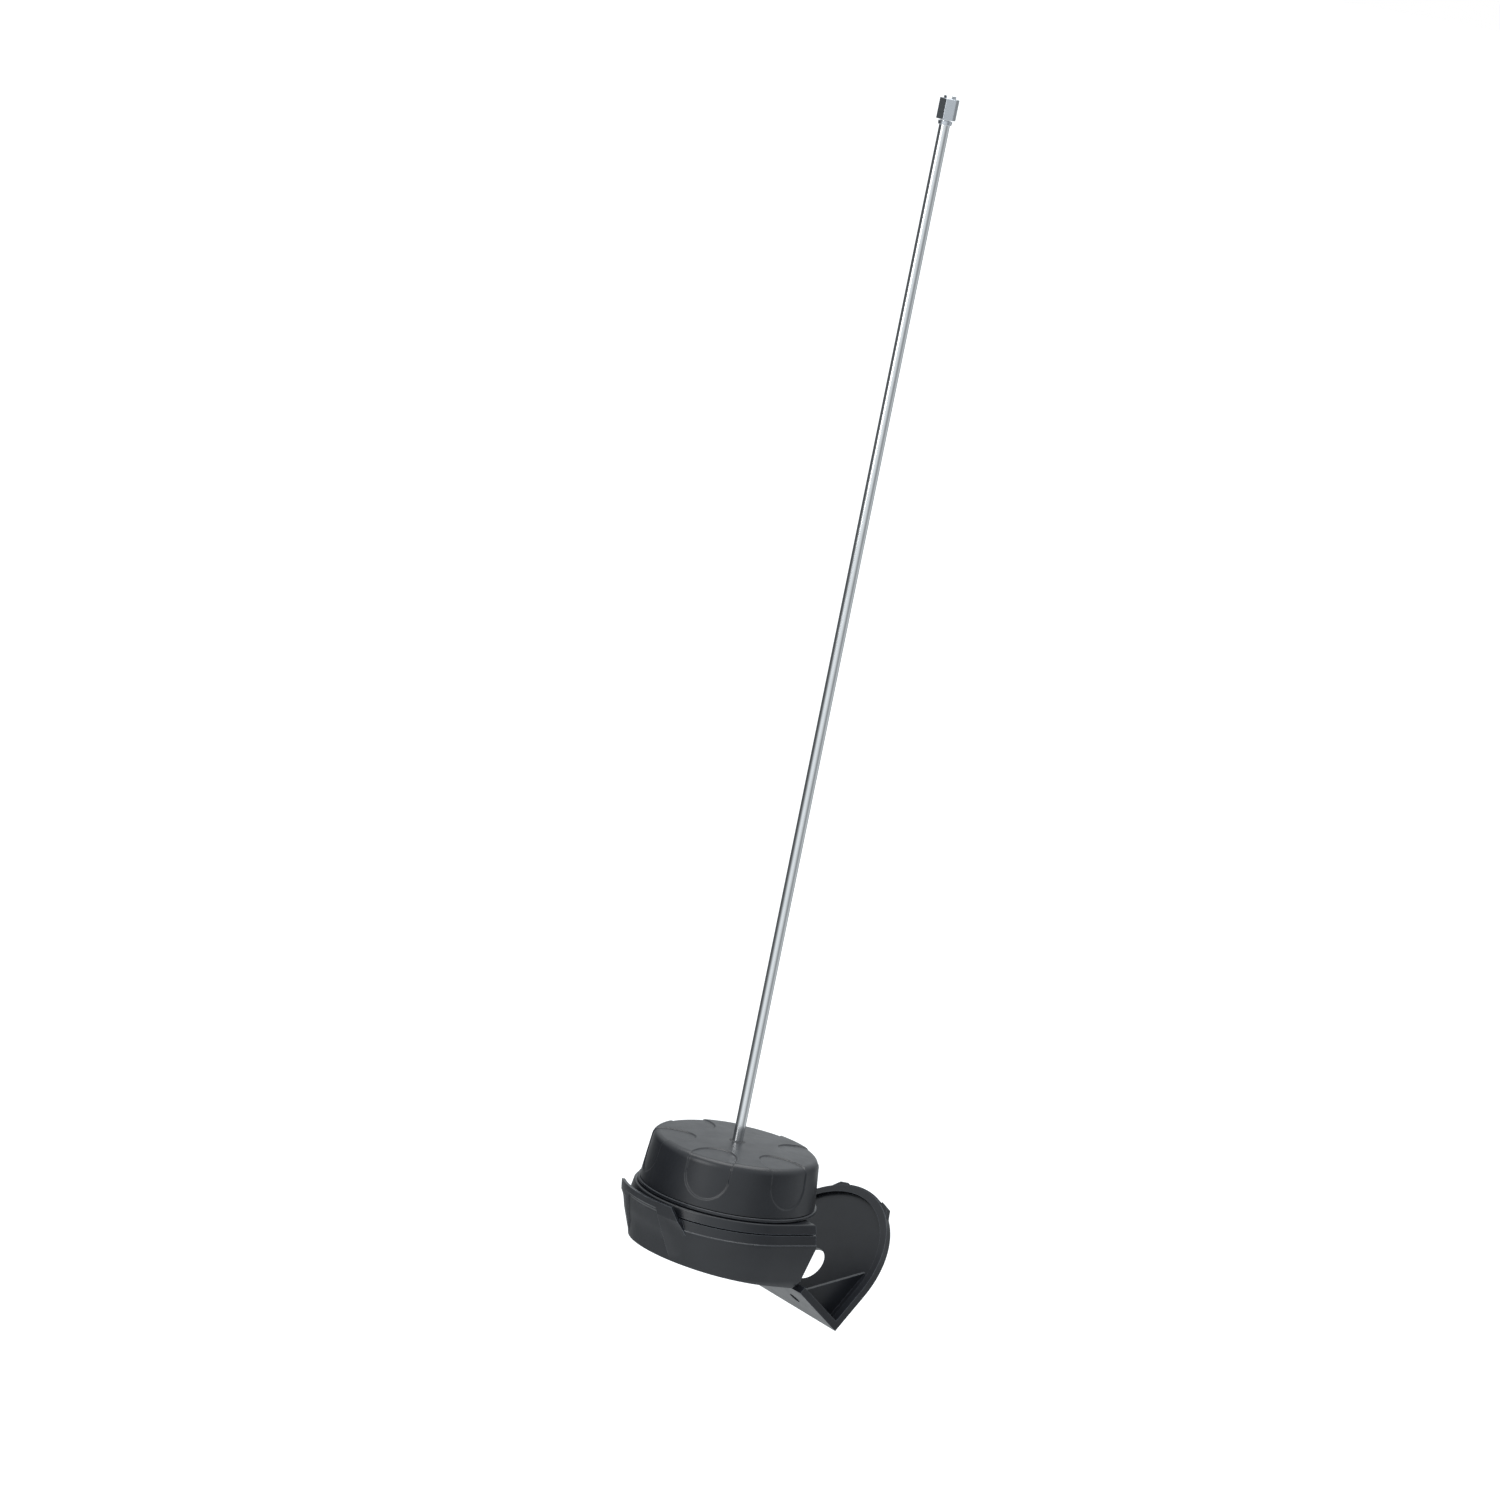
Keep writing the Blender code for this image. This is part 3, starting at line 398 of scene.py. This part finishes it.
def loft(name, sections):
    shape = bmesh.new()
    rings = [[shape.verts.new(point) for point in section] for section in sections]
    count = len(rings[0])
    for lower, upper in zip(rings, rings[1:]):
        for i in range(count):
            j = (i + 1) % count
            shape.faces.new((lower[i], lower[j], upper[j], upper[i]))
    shape.faces.new(rings[0])
    shape.faces.new(rings[-1])
    return from_bmesh(name, shape)


def turned(name, profile, steps=ROUND_STEPS, dent=None):
    """A closed profile of (radius, height) pairs turned about Z. dent moves a point inwards."""
    shape = bmesh.new()
    rows = []
    for radius, height in profile:
        if radius < ON_AXIS:
            rows.append([shape.verts.new((0, 0, height))])
            continue
        row = []
        for step in range(steps):
            angle = 2 * math.pi * step / steps
            r, z = dent(radius, height, angle) if dent else (radius, height)
            row.append(shape.verts.new((r * math.cos(angle), r * math.sin(angle), z)))
        rows.append(row)
    for first, second in zip(rows, rows[1:] + rows[:1]):
        if len(first) == 1 and len(second) == 1:
            continue
        for i in range(steps):
            j = (i + 1) % steps
            corners = [first[k % len(first)] for k in (i, j)]
            corners += [second[k % len(second)] for k in (j, i)]
            shape.faces.new(list(dict.fromkeys(corners)))
    return from_bmesh(name, shape)


def arch(radius, straight, height, shift=0.0):
    points = [(straight, -radius, height), (straight, radius, height)]
    for step in range(ARC_STEPS + 1):
        angle = math.pi / 2 + math.pi * step / ARC_STEPS
        points.append((shift + radius * math.cos(angle), radius * math.sin(angle), height))
    return points


def sector(inner, outer, half_angle, height, steps=24):
    half = math.radians(half_angle)
    angles = [math.pi - half + 2 * half * step / steps for step in range(steps + 1)]
    outside = [(outer * math.cos(a), outer * math.sin(a), height) for a in angles]
    inside = [(inner * math.cos(a), inner * math.sin(a), height) for a in reversed(angles)]
    return outside + inside


def combine(target, other, operation):
    modifier = target.modifiers.new(operation.lower(), "BOOLEAN")
    modifier.operation = operation
    modifier.solver = "EXACT"
    modifier.object = other


def cut(target, cutter):
    combine(target, cutter, "DIFFERENCE")


def join(target, addition):
    combine(target, addition, "UNION")


def bake(target, tools=()):
    """Fixes what the modifiers give, and removes the shapes that cut or joined it."""
    bpy.context.view_layer.update()
    mesh = bpy.data.meshes.new_from_object(target.evaluated_get(bpy.context.evaluated_depsgraph_get()))
    target.modifiers.clear()
    target.data = mesh
    for tool in tools:
        bpy.data.objects.remove(tool, do_unlink=True)


def tools_of(target):
    """The shapes that a piece's Boolean modifiers use, and theirs in turn."""
    found = []
    for modifier in target.modifiers:
        if modifier.type == "BOOLEAN":
            found += [modifier.object] + tools_of(modifier.object)
    return found


def soften(target, width):
    """Rounds the hard edges. Flat runs are merged first so that the rounding stays even."""
    bake(target, tools_of(target))
    shape = bmesh.new()
    shape.from_mesh(target.data)
    bmesh.ops.remove_doubles(shape, verts=shape.verts, dist=MERGE_DISTANCE)
    bmesh.ops.dissolve_limit(
        shape, angle_limit=FLAT_ANGLE, verts=shape.verts, edges=shape.edges,
        use_dissolve_boundaries=False)
    shape.to_mesh(target.data)
    shape.free()
    rounding = target.modifiers.new("edges", "BEVEL")
    rounding.width = width
    rounding.segments = EDGE_SEGMENTS
    rounding.limit_method = "ANGLE"
    rounding.angle_limit = EDGE_ANGLE
    rounding.miter_outer = "MITER_ARC"
    bake(target)


def place(piece, node, body, slot, look, move=None, sharp=35.0):
    """Puts a finished piece where its CAD node is, to ride on that node's body in its place."""
    if piece.modifiers:
        bake(piece, tools_of(piece))
    piece.data.transform(move if move else Matrix.Translation(PUCK))
    piece.name = node + "_skin"
    piece.data.materials.clear()
    piece.data.materials.append(look)
    piece.data.shade_smooth()
    piece.data.set_sharp_from_angle(angle=math.radians(sharp))
    even = piece.modifiers.new("even_shading", "WEIGHTED_NORMAL")
    even.keep_sharp = True
    even.weight = 100
    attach(piece, body)
    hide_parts(node)


# ---------------------------------------------------------------- dome cover

def smooth_step(value):
    value = max(0.0, min(1.0, value))
    return value * value * (3 - 2 * value)


def outside_bar(along, across, centre, reach):
    """How far a point is outside a long bar whose round end reaches back from its centre."""
    if along < centre:
        return math.hypot((along - centre) * GRIP_RADIUS / reach, across) - GRIP_RADIUS
    return abs(across) - GRIP_RADIUS


def grip_share(radius, height, angle):
    """1 on the floor of a finger grip, 0 outside, with a narrow rounded step between."""
    pitch = 2 * math.pi / GRIP_COUNT
    off = (angle - GRIP_FIRST_ANGLE + pitch / 2) % pitch - pitch / 2
    reach = radius * math.cos(off)
    across = radius * math.sin(off)
    from_above = outside_bar(reach, across, GRIP_TOP_CENTRE, GRIP_TOP_REACH)
    from_side = outside_bar(height, across, GRIP_SIDE_CENTRE, GRIP_RADIUS)
    return smooth_step(-max(from_above, from_side) / GRIP_EDGE)


def spread(*stops):
    """Even steps between the stops, which are (value, steps to the next stop) pairs."""
    values = []
    for (start, steps), (end, _) in zip(stops, stops[1:]):
        values += [start + (end - start) * step / steps for step in range(steps)]
    return values + [stops[-1][0]]


def dome_side(shrink=0.0):
    """Outer side of the dome from the bore to its foot, moved inwards by shrink. Fine over the grips."""
    flat = DOME_TOP_RADIUS - DOME_EDGE_ROUND
    centre_height = DOME_TOP - DOME_EDGE_ROUND
    edge = DOME_EDGE_ROUND - shrink
    slope = (DOME_BOTTOM_RADIUS - DOME_TOP_RADIUS) / (DOME_TOP - DOME_BOTTOM)
    last = math.atan(slope)
    points = []
    for radius in spread((DOME_BORE, 8), (GRIP_TOP_CENTRE - GRIP_TOP_REACH - MM, 56), (flat, 0))[:-1]:
        points.append((radius, DOME_TOP - shrink + DOME_CROWN * (1 - (radius / flat) ** 2)))
    for angle in spread((math.pi / 2, 16), (last, 0)):
        points.append((flat + edge * math.cos(angle), centre_height + edge * math.sin(angle)))
    radius, start = points[-1]
    for height in spread((start, 46), (GRIP_SIDE_CENTRE - GRIP_RADIUS - MM, 4), (DOME_BOTTOM, 0))[1:]:
        points.append((radius + (start - height) * slope, height))
    return points


def make_dome(look):
    outer = dome_side()
    skin = set(outer)

    def dent(radius, height, angle):
        if (radius, height) not in skin:
            return radius, height
        depth = GRIP_DEPTH * grip_share(radius, height, angle)
        lean = 0.0
        if height > DOME_TOP - DOME_EDGE_ROUND:
            lean = smooth_step((DOME_TOP_RADIUS - radius) / DOME_EDGE_ROUND)
        pull = Vector((1 - lean, lean)).normalized() * depth
        return radius - pull.x, height - pull.y

    inner = dome_side(DOME_WALL)[::6]
    dome = turned("dome", outer + inner[::-1], DOME_TURN_STEPS, dent)
    place(dome, "dome_cover", "puck_cover", "body_plastic", look, sharp=50.0)


# ---------------------------------------------------------------- whip

def rounded_bar(name, radius, bottom, top, edge):
    profile = [(0.0, top)]
    for angle in spread((math.pi / 2, 4), (0.0, 0)):
        profile.append((radius - edge + edge * math.cos(angle), top - edge + edge * math.sin(angle)))
    profile += [(radius, bottom + edge), (radius - edge, bottom), (0.0, bottom)]
    return turned(name, profile, WHIP_STEPS)


def make_whip(looks):
    rod_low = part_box("whip_rod")[0].z - PUCK.z
    rod = rounded_bar("rod", ROD_RADIUS, rod_low, ROD_TOP, 0.2 * MM)
    place(rod, "whip_rod", "puck_cover", "polished_steel", looks["polished_steel"])
    top = ROD_TOP - GAP
    inner = ROD_RADIUS + SNUG
    edge = 0.15 * MM
    collar = turned("collar", [
        (inner, top),
        (COLLAR_TOP_RADIUS - edge, top),
        (COLLAR_TOP_RADIUS, top - edge),
        (COLLAR_BOTTOM_RADIUS, top - COLLAR_HEIGHT + edge),
        (COLLAR_BOTTOM_RADIUS - edge, top - COLLAR_HEIGHT),
        (inner, top - COLLAR_HEIGHT),
    ], WHIP_STEPS)
    place(collar, "tip_collar", "puck_cover", "tip_steel", looks["tip_steel"])
    low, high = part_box("tip_nut")
    bottom = low.z - PUCK.z
    crown_top = high.z - PUCK.z
    nut_top = crown_top - TIP_CROWN_HEIGHT
    nut = cylinder("nut", TIP_NUT_RADIUS, (0, 0, bottom), (0, 0, nut_top), 6)
    nut.data.transform(Matrix.Rotation(TIP_NUT_TURN, 4, "Z"))
    join(nut, cylinder("crown", TIP_CROWN_RADIUS, (0, 0, nut_top - MM), (0, 0, crown_top)))
    for index in range(2):
        slot = box(
            f"slot_{index}",
            (-TIP_NUT_RADIUS, -TIP_SLOT_WIDTH / 2, crown_top - TIP_SLOT_DEPTH),
            (TIP_NUT_RADIUS, TIP_SLOT_WIDTH / 2, crown_top + MM),
        )
        slot.data.transform(Matrix.Rotation(TIP_SLOT_TURN + index * math.pi / 2, 4, "Z"))
        cut(nut, slot)
    soften(nut, MACHINED_EDGE)
    place(nut, "tip_nut", "puck_cover", "tip_steel", looks["tip_steel"])


def make_boot(look):
    """A grommet whose top falls from the rod to the dome in a smooth curve, so that no edge stands up."""
    low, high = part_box("hub_boot")
    top = high.z - PUCK.z
    under = low.z - PUCK.z
    inner = ROD_RADIUS + SNUG
    outer = DOME_BORE - SNUG
    profile = []
    for share in spread((0.0, 8), (1.0, 0)):
        profile.append((inner + (outer - inner) * share, top - BOOT_STANDS * smooth_step(share)))
    profile += [(outer, under), (inner, under)]
    place(turned("boot", profile, WHIP_STEPS), "hub_boot", "puck_cover", "rubber", look, sharp=50.0)


# ---------------------------------------------------------------- puck base, plate and cradle

def make_puck_base(look):
    wall_in, wall_out, rim = BASE_WALL_RADII
    floor, top = BASE_FLOOR, BASE_WALL_TOP
    bore = CONNECTOR_RADIUS + GAP
    edge = 0.35 * MM
    profile = [(wall_out, top), (wall_out, floor), (rim - edge, floor), (rim, floor - edge)]
    profile += [(rim, GAP + edge), (rim - edge, GAP), (bore, GAP)]
    profile += [(bore, floor), (wall_in, floor), (wall_in, top)]
    base = turned("base", profile)
    place(base, "puck_base", "cradle", "body_plastic", look)


def make_plate(look):
    edge = 0.9 * MM
    draft = 0.6 * MM
    chamfer = 0.4 * MM
    chamfer_height = 0.35 * MM
    under = draft - chamfer
    sections = [
        arch(ARCH_RADIUS + under, ARCH_STRAIGHT + under, -PLATE_THICKNESS),
        arch(ARCH_RADIUS + draft, ARCH_STRAIGHT + draft, -PLATE_THICKNESS + chamfer_height),
    ]
    for angle in spread((0.0, 6), (math.pi / 2, 0)):
        inset = edge * (1 - math.cos(angle))
        height = -edge + edge * math.sin(angle)
        sections.append(arch(ARCH_RADIUS - inset, ARCH_STRAIGHT - inset, height))
    plate = loft("plate", sections)
    bore = CONNECTOR_RADIUS + GAP
    cut(plate, cylinder("plate_bore", bore, (0, 0, -20 * MM), (0, 0, 10 * MM)))
    for index, (x, y) in enumerate(SCREW_SPOTS):
        cut(plate, cylinder(f"plate_hole_{index}", SCREW_RADIUS, (x, y, -20 * MM), (x, y, SCREW_REACH)))
    place(plate, "mounting_plate", "cradle", "body_plastic", look, sharp=40.0)


def between_rows(rows, height, column):
    """Reads a column of a table of levels, straight between rows. The height is each row's last value."""
    ordered = sorted(rows, key=lambda row: row[-1])
    if height <= ordered[0][-1]:
        return ordered[0][column]
    for low, high in zip(ordered, ordered[1:]):
        if height <= high[-1]:
            share = (height - low[-1]) / (high[-1] - low[-1])
            return low[column] + (high[column] - low[column]) * share
    return ordered[-1][column]


def panel_share(angle, radius, height):
    """1 on the floor of the tab's sunken panel, 0 outside it, with a ledge half way down its top."""
    edge = math.radians(between_rows(PANEL_EDGE, height, 0))
    from_side = smooth_step((edge - abs(angle)) * radius / PANEL_STEP)
    drop = PANEL_TOP - height
    from_top = smooth_step(drop / PANEL_STEP) + smooth_step((drop - PANEL_LEDGE) / PANEL_STEP)
    return min(from_side, from_top / 2)


def tab_section(inner, outer, side, half_angle, height):
    """One level of the crown tab: its outer face falls from outer to side near its two ends."""
    half = math.radians(half_angle)
    outline = []
    for step in range(TAB_STEPS + 1):
        angle = half - 2 * half * step / TAB_STEPS
        share = smooth_step((half - abs(angle)) / TAB_SIDE_FADE)
        radius = side + (outer - side) * share
        radius = (radius - PANEL_DEPTH * panel_share(angle, radius, height)) * MM
        outline.append((-radius * math.cos(angle), radius * math.sin(angle), height * MM))
    for step in range(TAB_STEPS + 1):
        angle = 2 * half * step / TAB_STEPS - half
        outline.append((-inner * MM * math.cos(angle), inner * MM * math.sin(angle), height * MM))
    return outline


def make_crown_tab():
    rows = [TAB_LEVELS[0]]
    for upper, lower in zip(TAB_LEVELS, TAB_LEVELS[1:]):
        for step in range(1, TAB_ROWS_PER_LEVEL + 1):
            share = step / TAB_ROWS_PER_LEVEL
            rows.append([a + (b - a) * share for a, b in zip(upper, lower)])
    return loft("crown_tab", [tab_section(*row) for row in rows])


def make_cradle(look):
    outside = [
        arch(ARCH_RADIUS + wider, ARCH_STRAIGHT + longer, height, shift)
        for height, wider, longer, shift in CRADLE_LEVELS
    ]
    deck_under = CRADLE_TOP - CRADLE_DECK
    inside = [arch(ARCH_RADIUS - SKIRT_WALL, ARCH_STRAIGHT - SKIRT_WALL, deck_under)]
    for height, wider, longer, shift in CRADLE_LEVELS[3:]:
        radius = ARCH_RADIUS + wider - SKIRT_WALL
        inside.append(arch(radius, ARCH_STRAIGHT + longer - SKIRT_WALL, height, shift))
    inside.append([(x, y, z - MM) for x, y, z in inside[-1]])
    shell = loft("shell", outside)
    join(shell, make_crown_tab())
    cut(shell, loft("cavity", inside))
    trim = box("trim", (-90 * MM, -90 * MM, -60 * MM), (90 * MM, 90 * MM, 0))
    slope = Matrix.Translation((0, 0, SKIRT_CUT_HEIGHT)) @ Matrix.Rotation(SKIRT_CUT_SLOPE, 4, "Y")
    trim.data.transform(slope)
    cut(shell, trim)
    notch = TONGUE_HALF_WIDTH + 2 * MM
    (start_x, end_x), (low_z, high_z) = NOTCH_SPAN
    cut(shell, box("notch", (start_x, -notch, low_z), (end_x, notch, high_z)))
    start = TONGUE_HALF_WIDTH + WASHER_THICKNESS + 2 * GAP
    for side in (-1, 1):
        near = side * start
        far = side * (start + LUG_THICKNESS)
        low = (HINGE.x - LUG_RADIUS, min(near, far), HINGE.z)
        join(shell, box(f"lug_{side + 1}", low, (HINGE.x + LUG_RADIUS, max(near, far), deck_under + MM)))
        ends = ((HINGE.x, near, HINGE.z), (HINGE.x, far, HINGE.z))
        join(shell, cylinder(f"lug_end_{side + 1}", LUG_RADIUS, *ends))
    pin = PIN_RADIUS + GAP
    cut(shell, cylinder("lug_bore", pin, (HINGE.x, -35 * MM, HINGE.z), (HINGE.x, 35 * MM, HINGE.z)))
    cut(shell, cylinder("deck_bore", CONNECTOR_RADIUS + GAP, (0, 0, -12 * MM), (0, 0, 0)))
    for index, (x, y) in enumerate(SCREW_SPOTS):
        cut(shell, cylinder(f"deck_hole_{index}", SCREW_RADIUS, (x, y, -12 * MM), (x, y, 0)))
    soften(shell, MOULDED_EDGE)
    place(shell, "cradle_shell", "cradle", "body_plastic", look)


# ---------------------------------------------------------------- tilting bracket

def wall_outline(inset, x):
    flat = arch(ARCH_RADIUS - inset, ARCH_STRAIGHT - inset, 0.0)
    return [(x, y, ARCH_STRAIGHT - along) for along, y, _ in flat]


def make_prong(side):
    outline = []
    for radius, angle in PRONG_OUTLINE:
        turn = math.radians(angle) * side
        outline.append((radius * MM * math.sin(turn), ARCH_STRAIGHT + radius * MM * math.cos(turn)))
    return loft(f"prong_{side + 1}", [[(x, y, z) for y, z in outline] for x in PRONG_REACH])


def make_bracket(look):
    bracket = loft("bracket", [wall_outline(0, 0.0), wall_outline(0, WALL_RIM_HEIGHT)])
    cut(bracket, loft("recess", [
        wall_outline(WALL_RIM_WIDTH, WALL_PLATE), wall_outline(WALL_RIM_WIDTH, WALL_RIM_HEIGHT + MM)]))
    pieces = [box("foot", (WALL_PLATE / 2, -ARCH_RADIUS, 0), (FOOT_LENGTH, ARCH_RADIUS, FOOT_THICKNESS))]
    pieces.append(box(
        "tongue", (FOOT_LENGTH - MM, -TONGUE_HALF_WIDTH, TONGUE_STEP),
        (HINGE_X - PIN_RADIUS, TONGUE_HALF_WIDTH, FOOT_THICKNESS - TONGUE_STEP)))
    half = TONGUE_HALF_WIDTH - SNUG
    pieces.append(cylinder("knuckle", KNUCKLE_RADIUS, (HINGE_X, -half, HINGE_Z), (HINGE_X, half, HINGE_Z)))
    for side in (-1, 1):
        triangle = [
            (WALL_PLATE - MM, FOOT_THICKNESS - MM), (GUSSET_LENGTH, FOOT_THICKNESS - MM),
            (WALL_PLATE - MM, GUSSET_HEIGHT)]
        centre = side * GUSSET_Y
        faces = (centre - GUSSET_THICKNESS / 2, centre + GUSSET_THICKNESS / 2)
        pieces.append(loft(f"gusset_{side + 1}", [[(x, y, z) for x, z in triangle] for y in faces]))
        pieces.append(make_prong(side))
    crown = sector(WALL_TAB_INNER, WALL_TAB_OUTER, WALL_TAB_HALF_ANGLE, 0.0)
    pieces.append(loft(
        "wall_tab", [[(x, y, ARCH_STRAIGHT - along) for along, y, _ in crown] for x in WALL_TAB_REACH]))
    for piece in pieces:
        join(bracket, piece)
    hole = ((-9 * MM, 0, ARCH_STRAIGHT), (9 * MM, 0, ARCH_STRAIGHT))
    cut(bracket, cylinder("cable_hole", CABLE_HOLE_RADIUS, *hole))
    for side in (-1, 1):
        y = side * SCREW_HOLE_Y
        ends = ((SCREW_HOLE_X, y, -9 * MM), (SCREW_HOLE_X, y, 9 * MM))
        cut(bracket, cylinder(f"screw_hole_{side + 1}", SCREW_HOLE_RADIUS, *ends))
    cut(bracket, cylinder(
        "knuckle_bore", PIN_RADIUS + GAP, (HINGE_X, -30 * MM, HINGE_Z), (HINGE_X, 30 * MM, HINGE_Z)))
    soften(bracket, MOULDED_EDGE)
    heel = Matrix.Translation(PUCK + Vector((HEEL_X, 0, HEEL_Z)))
    lean = Matrix.Rotation(math.pi, 4, "Z") @ Matrix.Rotation(-TILT, 4, "Y")
    place(bracket, "tilt_bracket", "wall_bracket", "body_plastic", look, heel @ lean)


# ---------------------------------------------------------------- studio

def make_floor():
    shape = bmesh.new()
    bmesh.ops.create_grid(shape, x_segments=2, y_segments=2, size=FLOOR_SIZE)
    floor = from_bmesh("floor", shape)
    floor.location.z = CAD_LOW.z - FLOOR_DROP
    look, nodes, links, shader = shader_of("pale_floor")
    links.new(
        mix_colour(nodes, links, noise(nodes, links, 0.8), (0.93, 0.93, 0.93), (0.95, 0.95, 0.95)),
        shader.inputs["Base Color"])
    shader.inputs["Roughness"].default_value = 0.9
    shader.inputs["Specular IOR Level"].default_value = 0.1
    shader.inputs["Emission Color"].default_value = (1.0, 1.0, 1.0, 1.0)
    shader.inputs["Emission Strength"].default_value = 0.35
    floor.data.materials.append(look)
    floor.visible_glossy = False


def ramp(nodes, stops, tint=(1.0, 1.0, 1.0)):
    made = nodes.new("ShaderNodeValToRGB")
    elements = made.color_ramp.elements
    while len(elements) < len(stops):
        elements.new(0.5)
    for element, (position, value) in zip(elements, stops):
        element.position = position
        element.color = (*(value * part for part in tint), 1.0)
    return made


def make_world():
    """A soft white tent, darker at its sides: a first ramp runs round it and a second up it."""
    world = bpy.data.worlds.new("studio")
    bpy.context.scene.world = world
    world.use_nodes = True
    nodes = world.node_tree.nodes
    links = world.node_tree.links
    background = nodes["Background"]
    place_node = nodes.new("ShaderNodeTexCoord")
    parts = []
    for direction in (CAMERA_RIGHT, TOWARDS_CAMERA):
        dot = nodes.new("ShaderNodeVectorMath")
        dot.operation = "DOT_PRODUCT"
        dot.inputs[1].default_value = direction
        links.new(place_node.outputs["Generated"], dot.inputs[0])
        parts.append(dot.outputs["Value"])
    bearing = nodes.new("ShaderNodeMath")
    bearing.operation = "ARCTAN2"
    links.new(parts[0], bearing.inputs[0])
    links.new(parts[1], bearing.inputs[1])
    share = nodes.new("ShaderNodeMapRange")
    share.inputs["From Min"].default_value = -math.pi
    share.inputs["From Max"].default_value = math.pi
    links.new(bearing.outputs["Value"], share.inputs["Value"])
    around = ramp(nodes, (
        (0.00, 0.70), (0.06, 0.38), (0.12, 0.10), (0.25, 0.10), (0.32, 0.25), (0.40, 0.82), (0.46, 1.00),
        (0.56, 0.80), (0.64, 0.32), (0.72, 0.44), (0.80, 0.72), (0.845, 0.45), (0.88, 0.14), (0.93, 0.50),
        (0.97, 0.82), (1.0, 0.82)), COOL)
    links.new(share.outputs["Result"], around.inputs["Fac"])
    split = nodes.new("ShaderNodeSeparateXYZ")
    links.new(place_node.outputs["Generated"], split.inputs["Vector"])
    height = nodes.new("ShaderNodeMapRange")
    height.inputs["From Min"].default_value = -1.0
    height.inputs["From Max"].default_value = 1.0
    links.new(split.outputs["Z"], height.inputs["Value"])
    level = ramp(nodes, (
        (0.0, 1.0), (0.14, 1.0), (0.28, 0.12), (0.40, 0.0), (0.60, 0.0), (0.84, 1.0), (1.0, 1.0)))
    links.new(height.outputs["Result"], level.inputs["Fac"])
    tent = mix_colour(nodes, links, level.outputs["Color"], around.outputs["Color"], COOL)
    path = nodes.new("ShaderNodeLightPath")
    seen = mix_colour(nodes, links, path.outputs["Is Camera Ray"], tent, (1.0, 1.0, 1.0))
    links.new(seen, background.inputs["Color"])


def area_light(name, place_at, size, power, aim):
    light = bpy.data.lights.new(name, "AREA")
    light.shape = "RECTANGLE"
    light.size, light.size_y = size
    light.energy = power
    lamp = bpy.data.objects.new(name, light)
    lamp.location = place_at
    lamp.rotation_euler = (Vector(aim) - Vector(place_at)).to_track_quat("-Z", "Y").to_euler()
    lamp.visible_camera = False
    bpy.context.scene.collection.objects.link(lamp)


def make_lights():
    """Two softboxes round the puck: sizes and distances in metres, power in watts."""
    top = PUCK + Vector((0.1, 0.3, 1.8))
    area_light("top_softbox", top, size=(1.6, 1.6), power=22.0, aim=PUCK)
    left = PUCK - CAMERA_RIGHT * 1.1 + TOWARDS_CAMERA * 1.2 + Vector((0, 0, 0.6))
    area_light("left_softbox", left, size=(0.7, 1.0), power=8.0, aim=PUCK)


def make_camera():
    data = bpy.data.cameras.new("camera")
    data.sensor_width = 36.0
    data.lens = CAMERA_LENS
    data.clip_start = 0.05
    data.clip_end = 200.0
    camera = bpy.data.objects.new("camera", data)
    camera.location = CAMERA_PLACE
    camera.rotation_euler = [math.radians(a) for a in CAMERA_TURN]
    bpy.context.scene.collection.objects.link(camera)
    bpy.context.scene.camera = camera


def dress_cad_nodes(looks):
    """Every CAD node that still shows takes the finish of its slot in the record."""
    for part in frame["record"]["subparts"]:
        node = frame["nodes"][part["node"]]
        node.data.materials.clear()
        node.data.materials.append(looks[part["material_slot"]])


looks = all_materials()
dress_cad_nodes(looks)
make_dome(looks["dome_plastic"])
make_whip(looks)
make_boot(looks["rubber"])
make_puck_base(looks["body_plastic"])
make_plate(looks["body_plastic"])
make_cradle(looks["body_plastic"])
make_bracket(looks["body_plastic"])
make_floor()
make_world()
make_lights()
make_camera()
bpy.context.scene.view_settings.view_transform = "Standard"
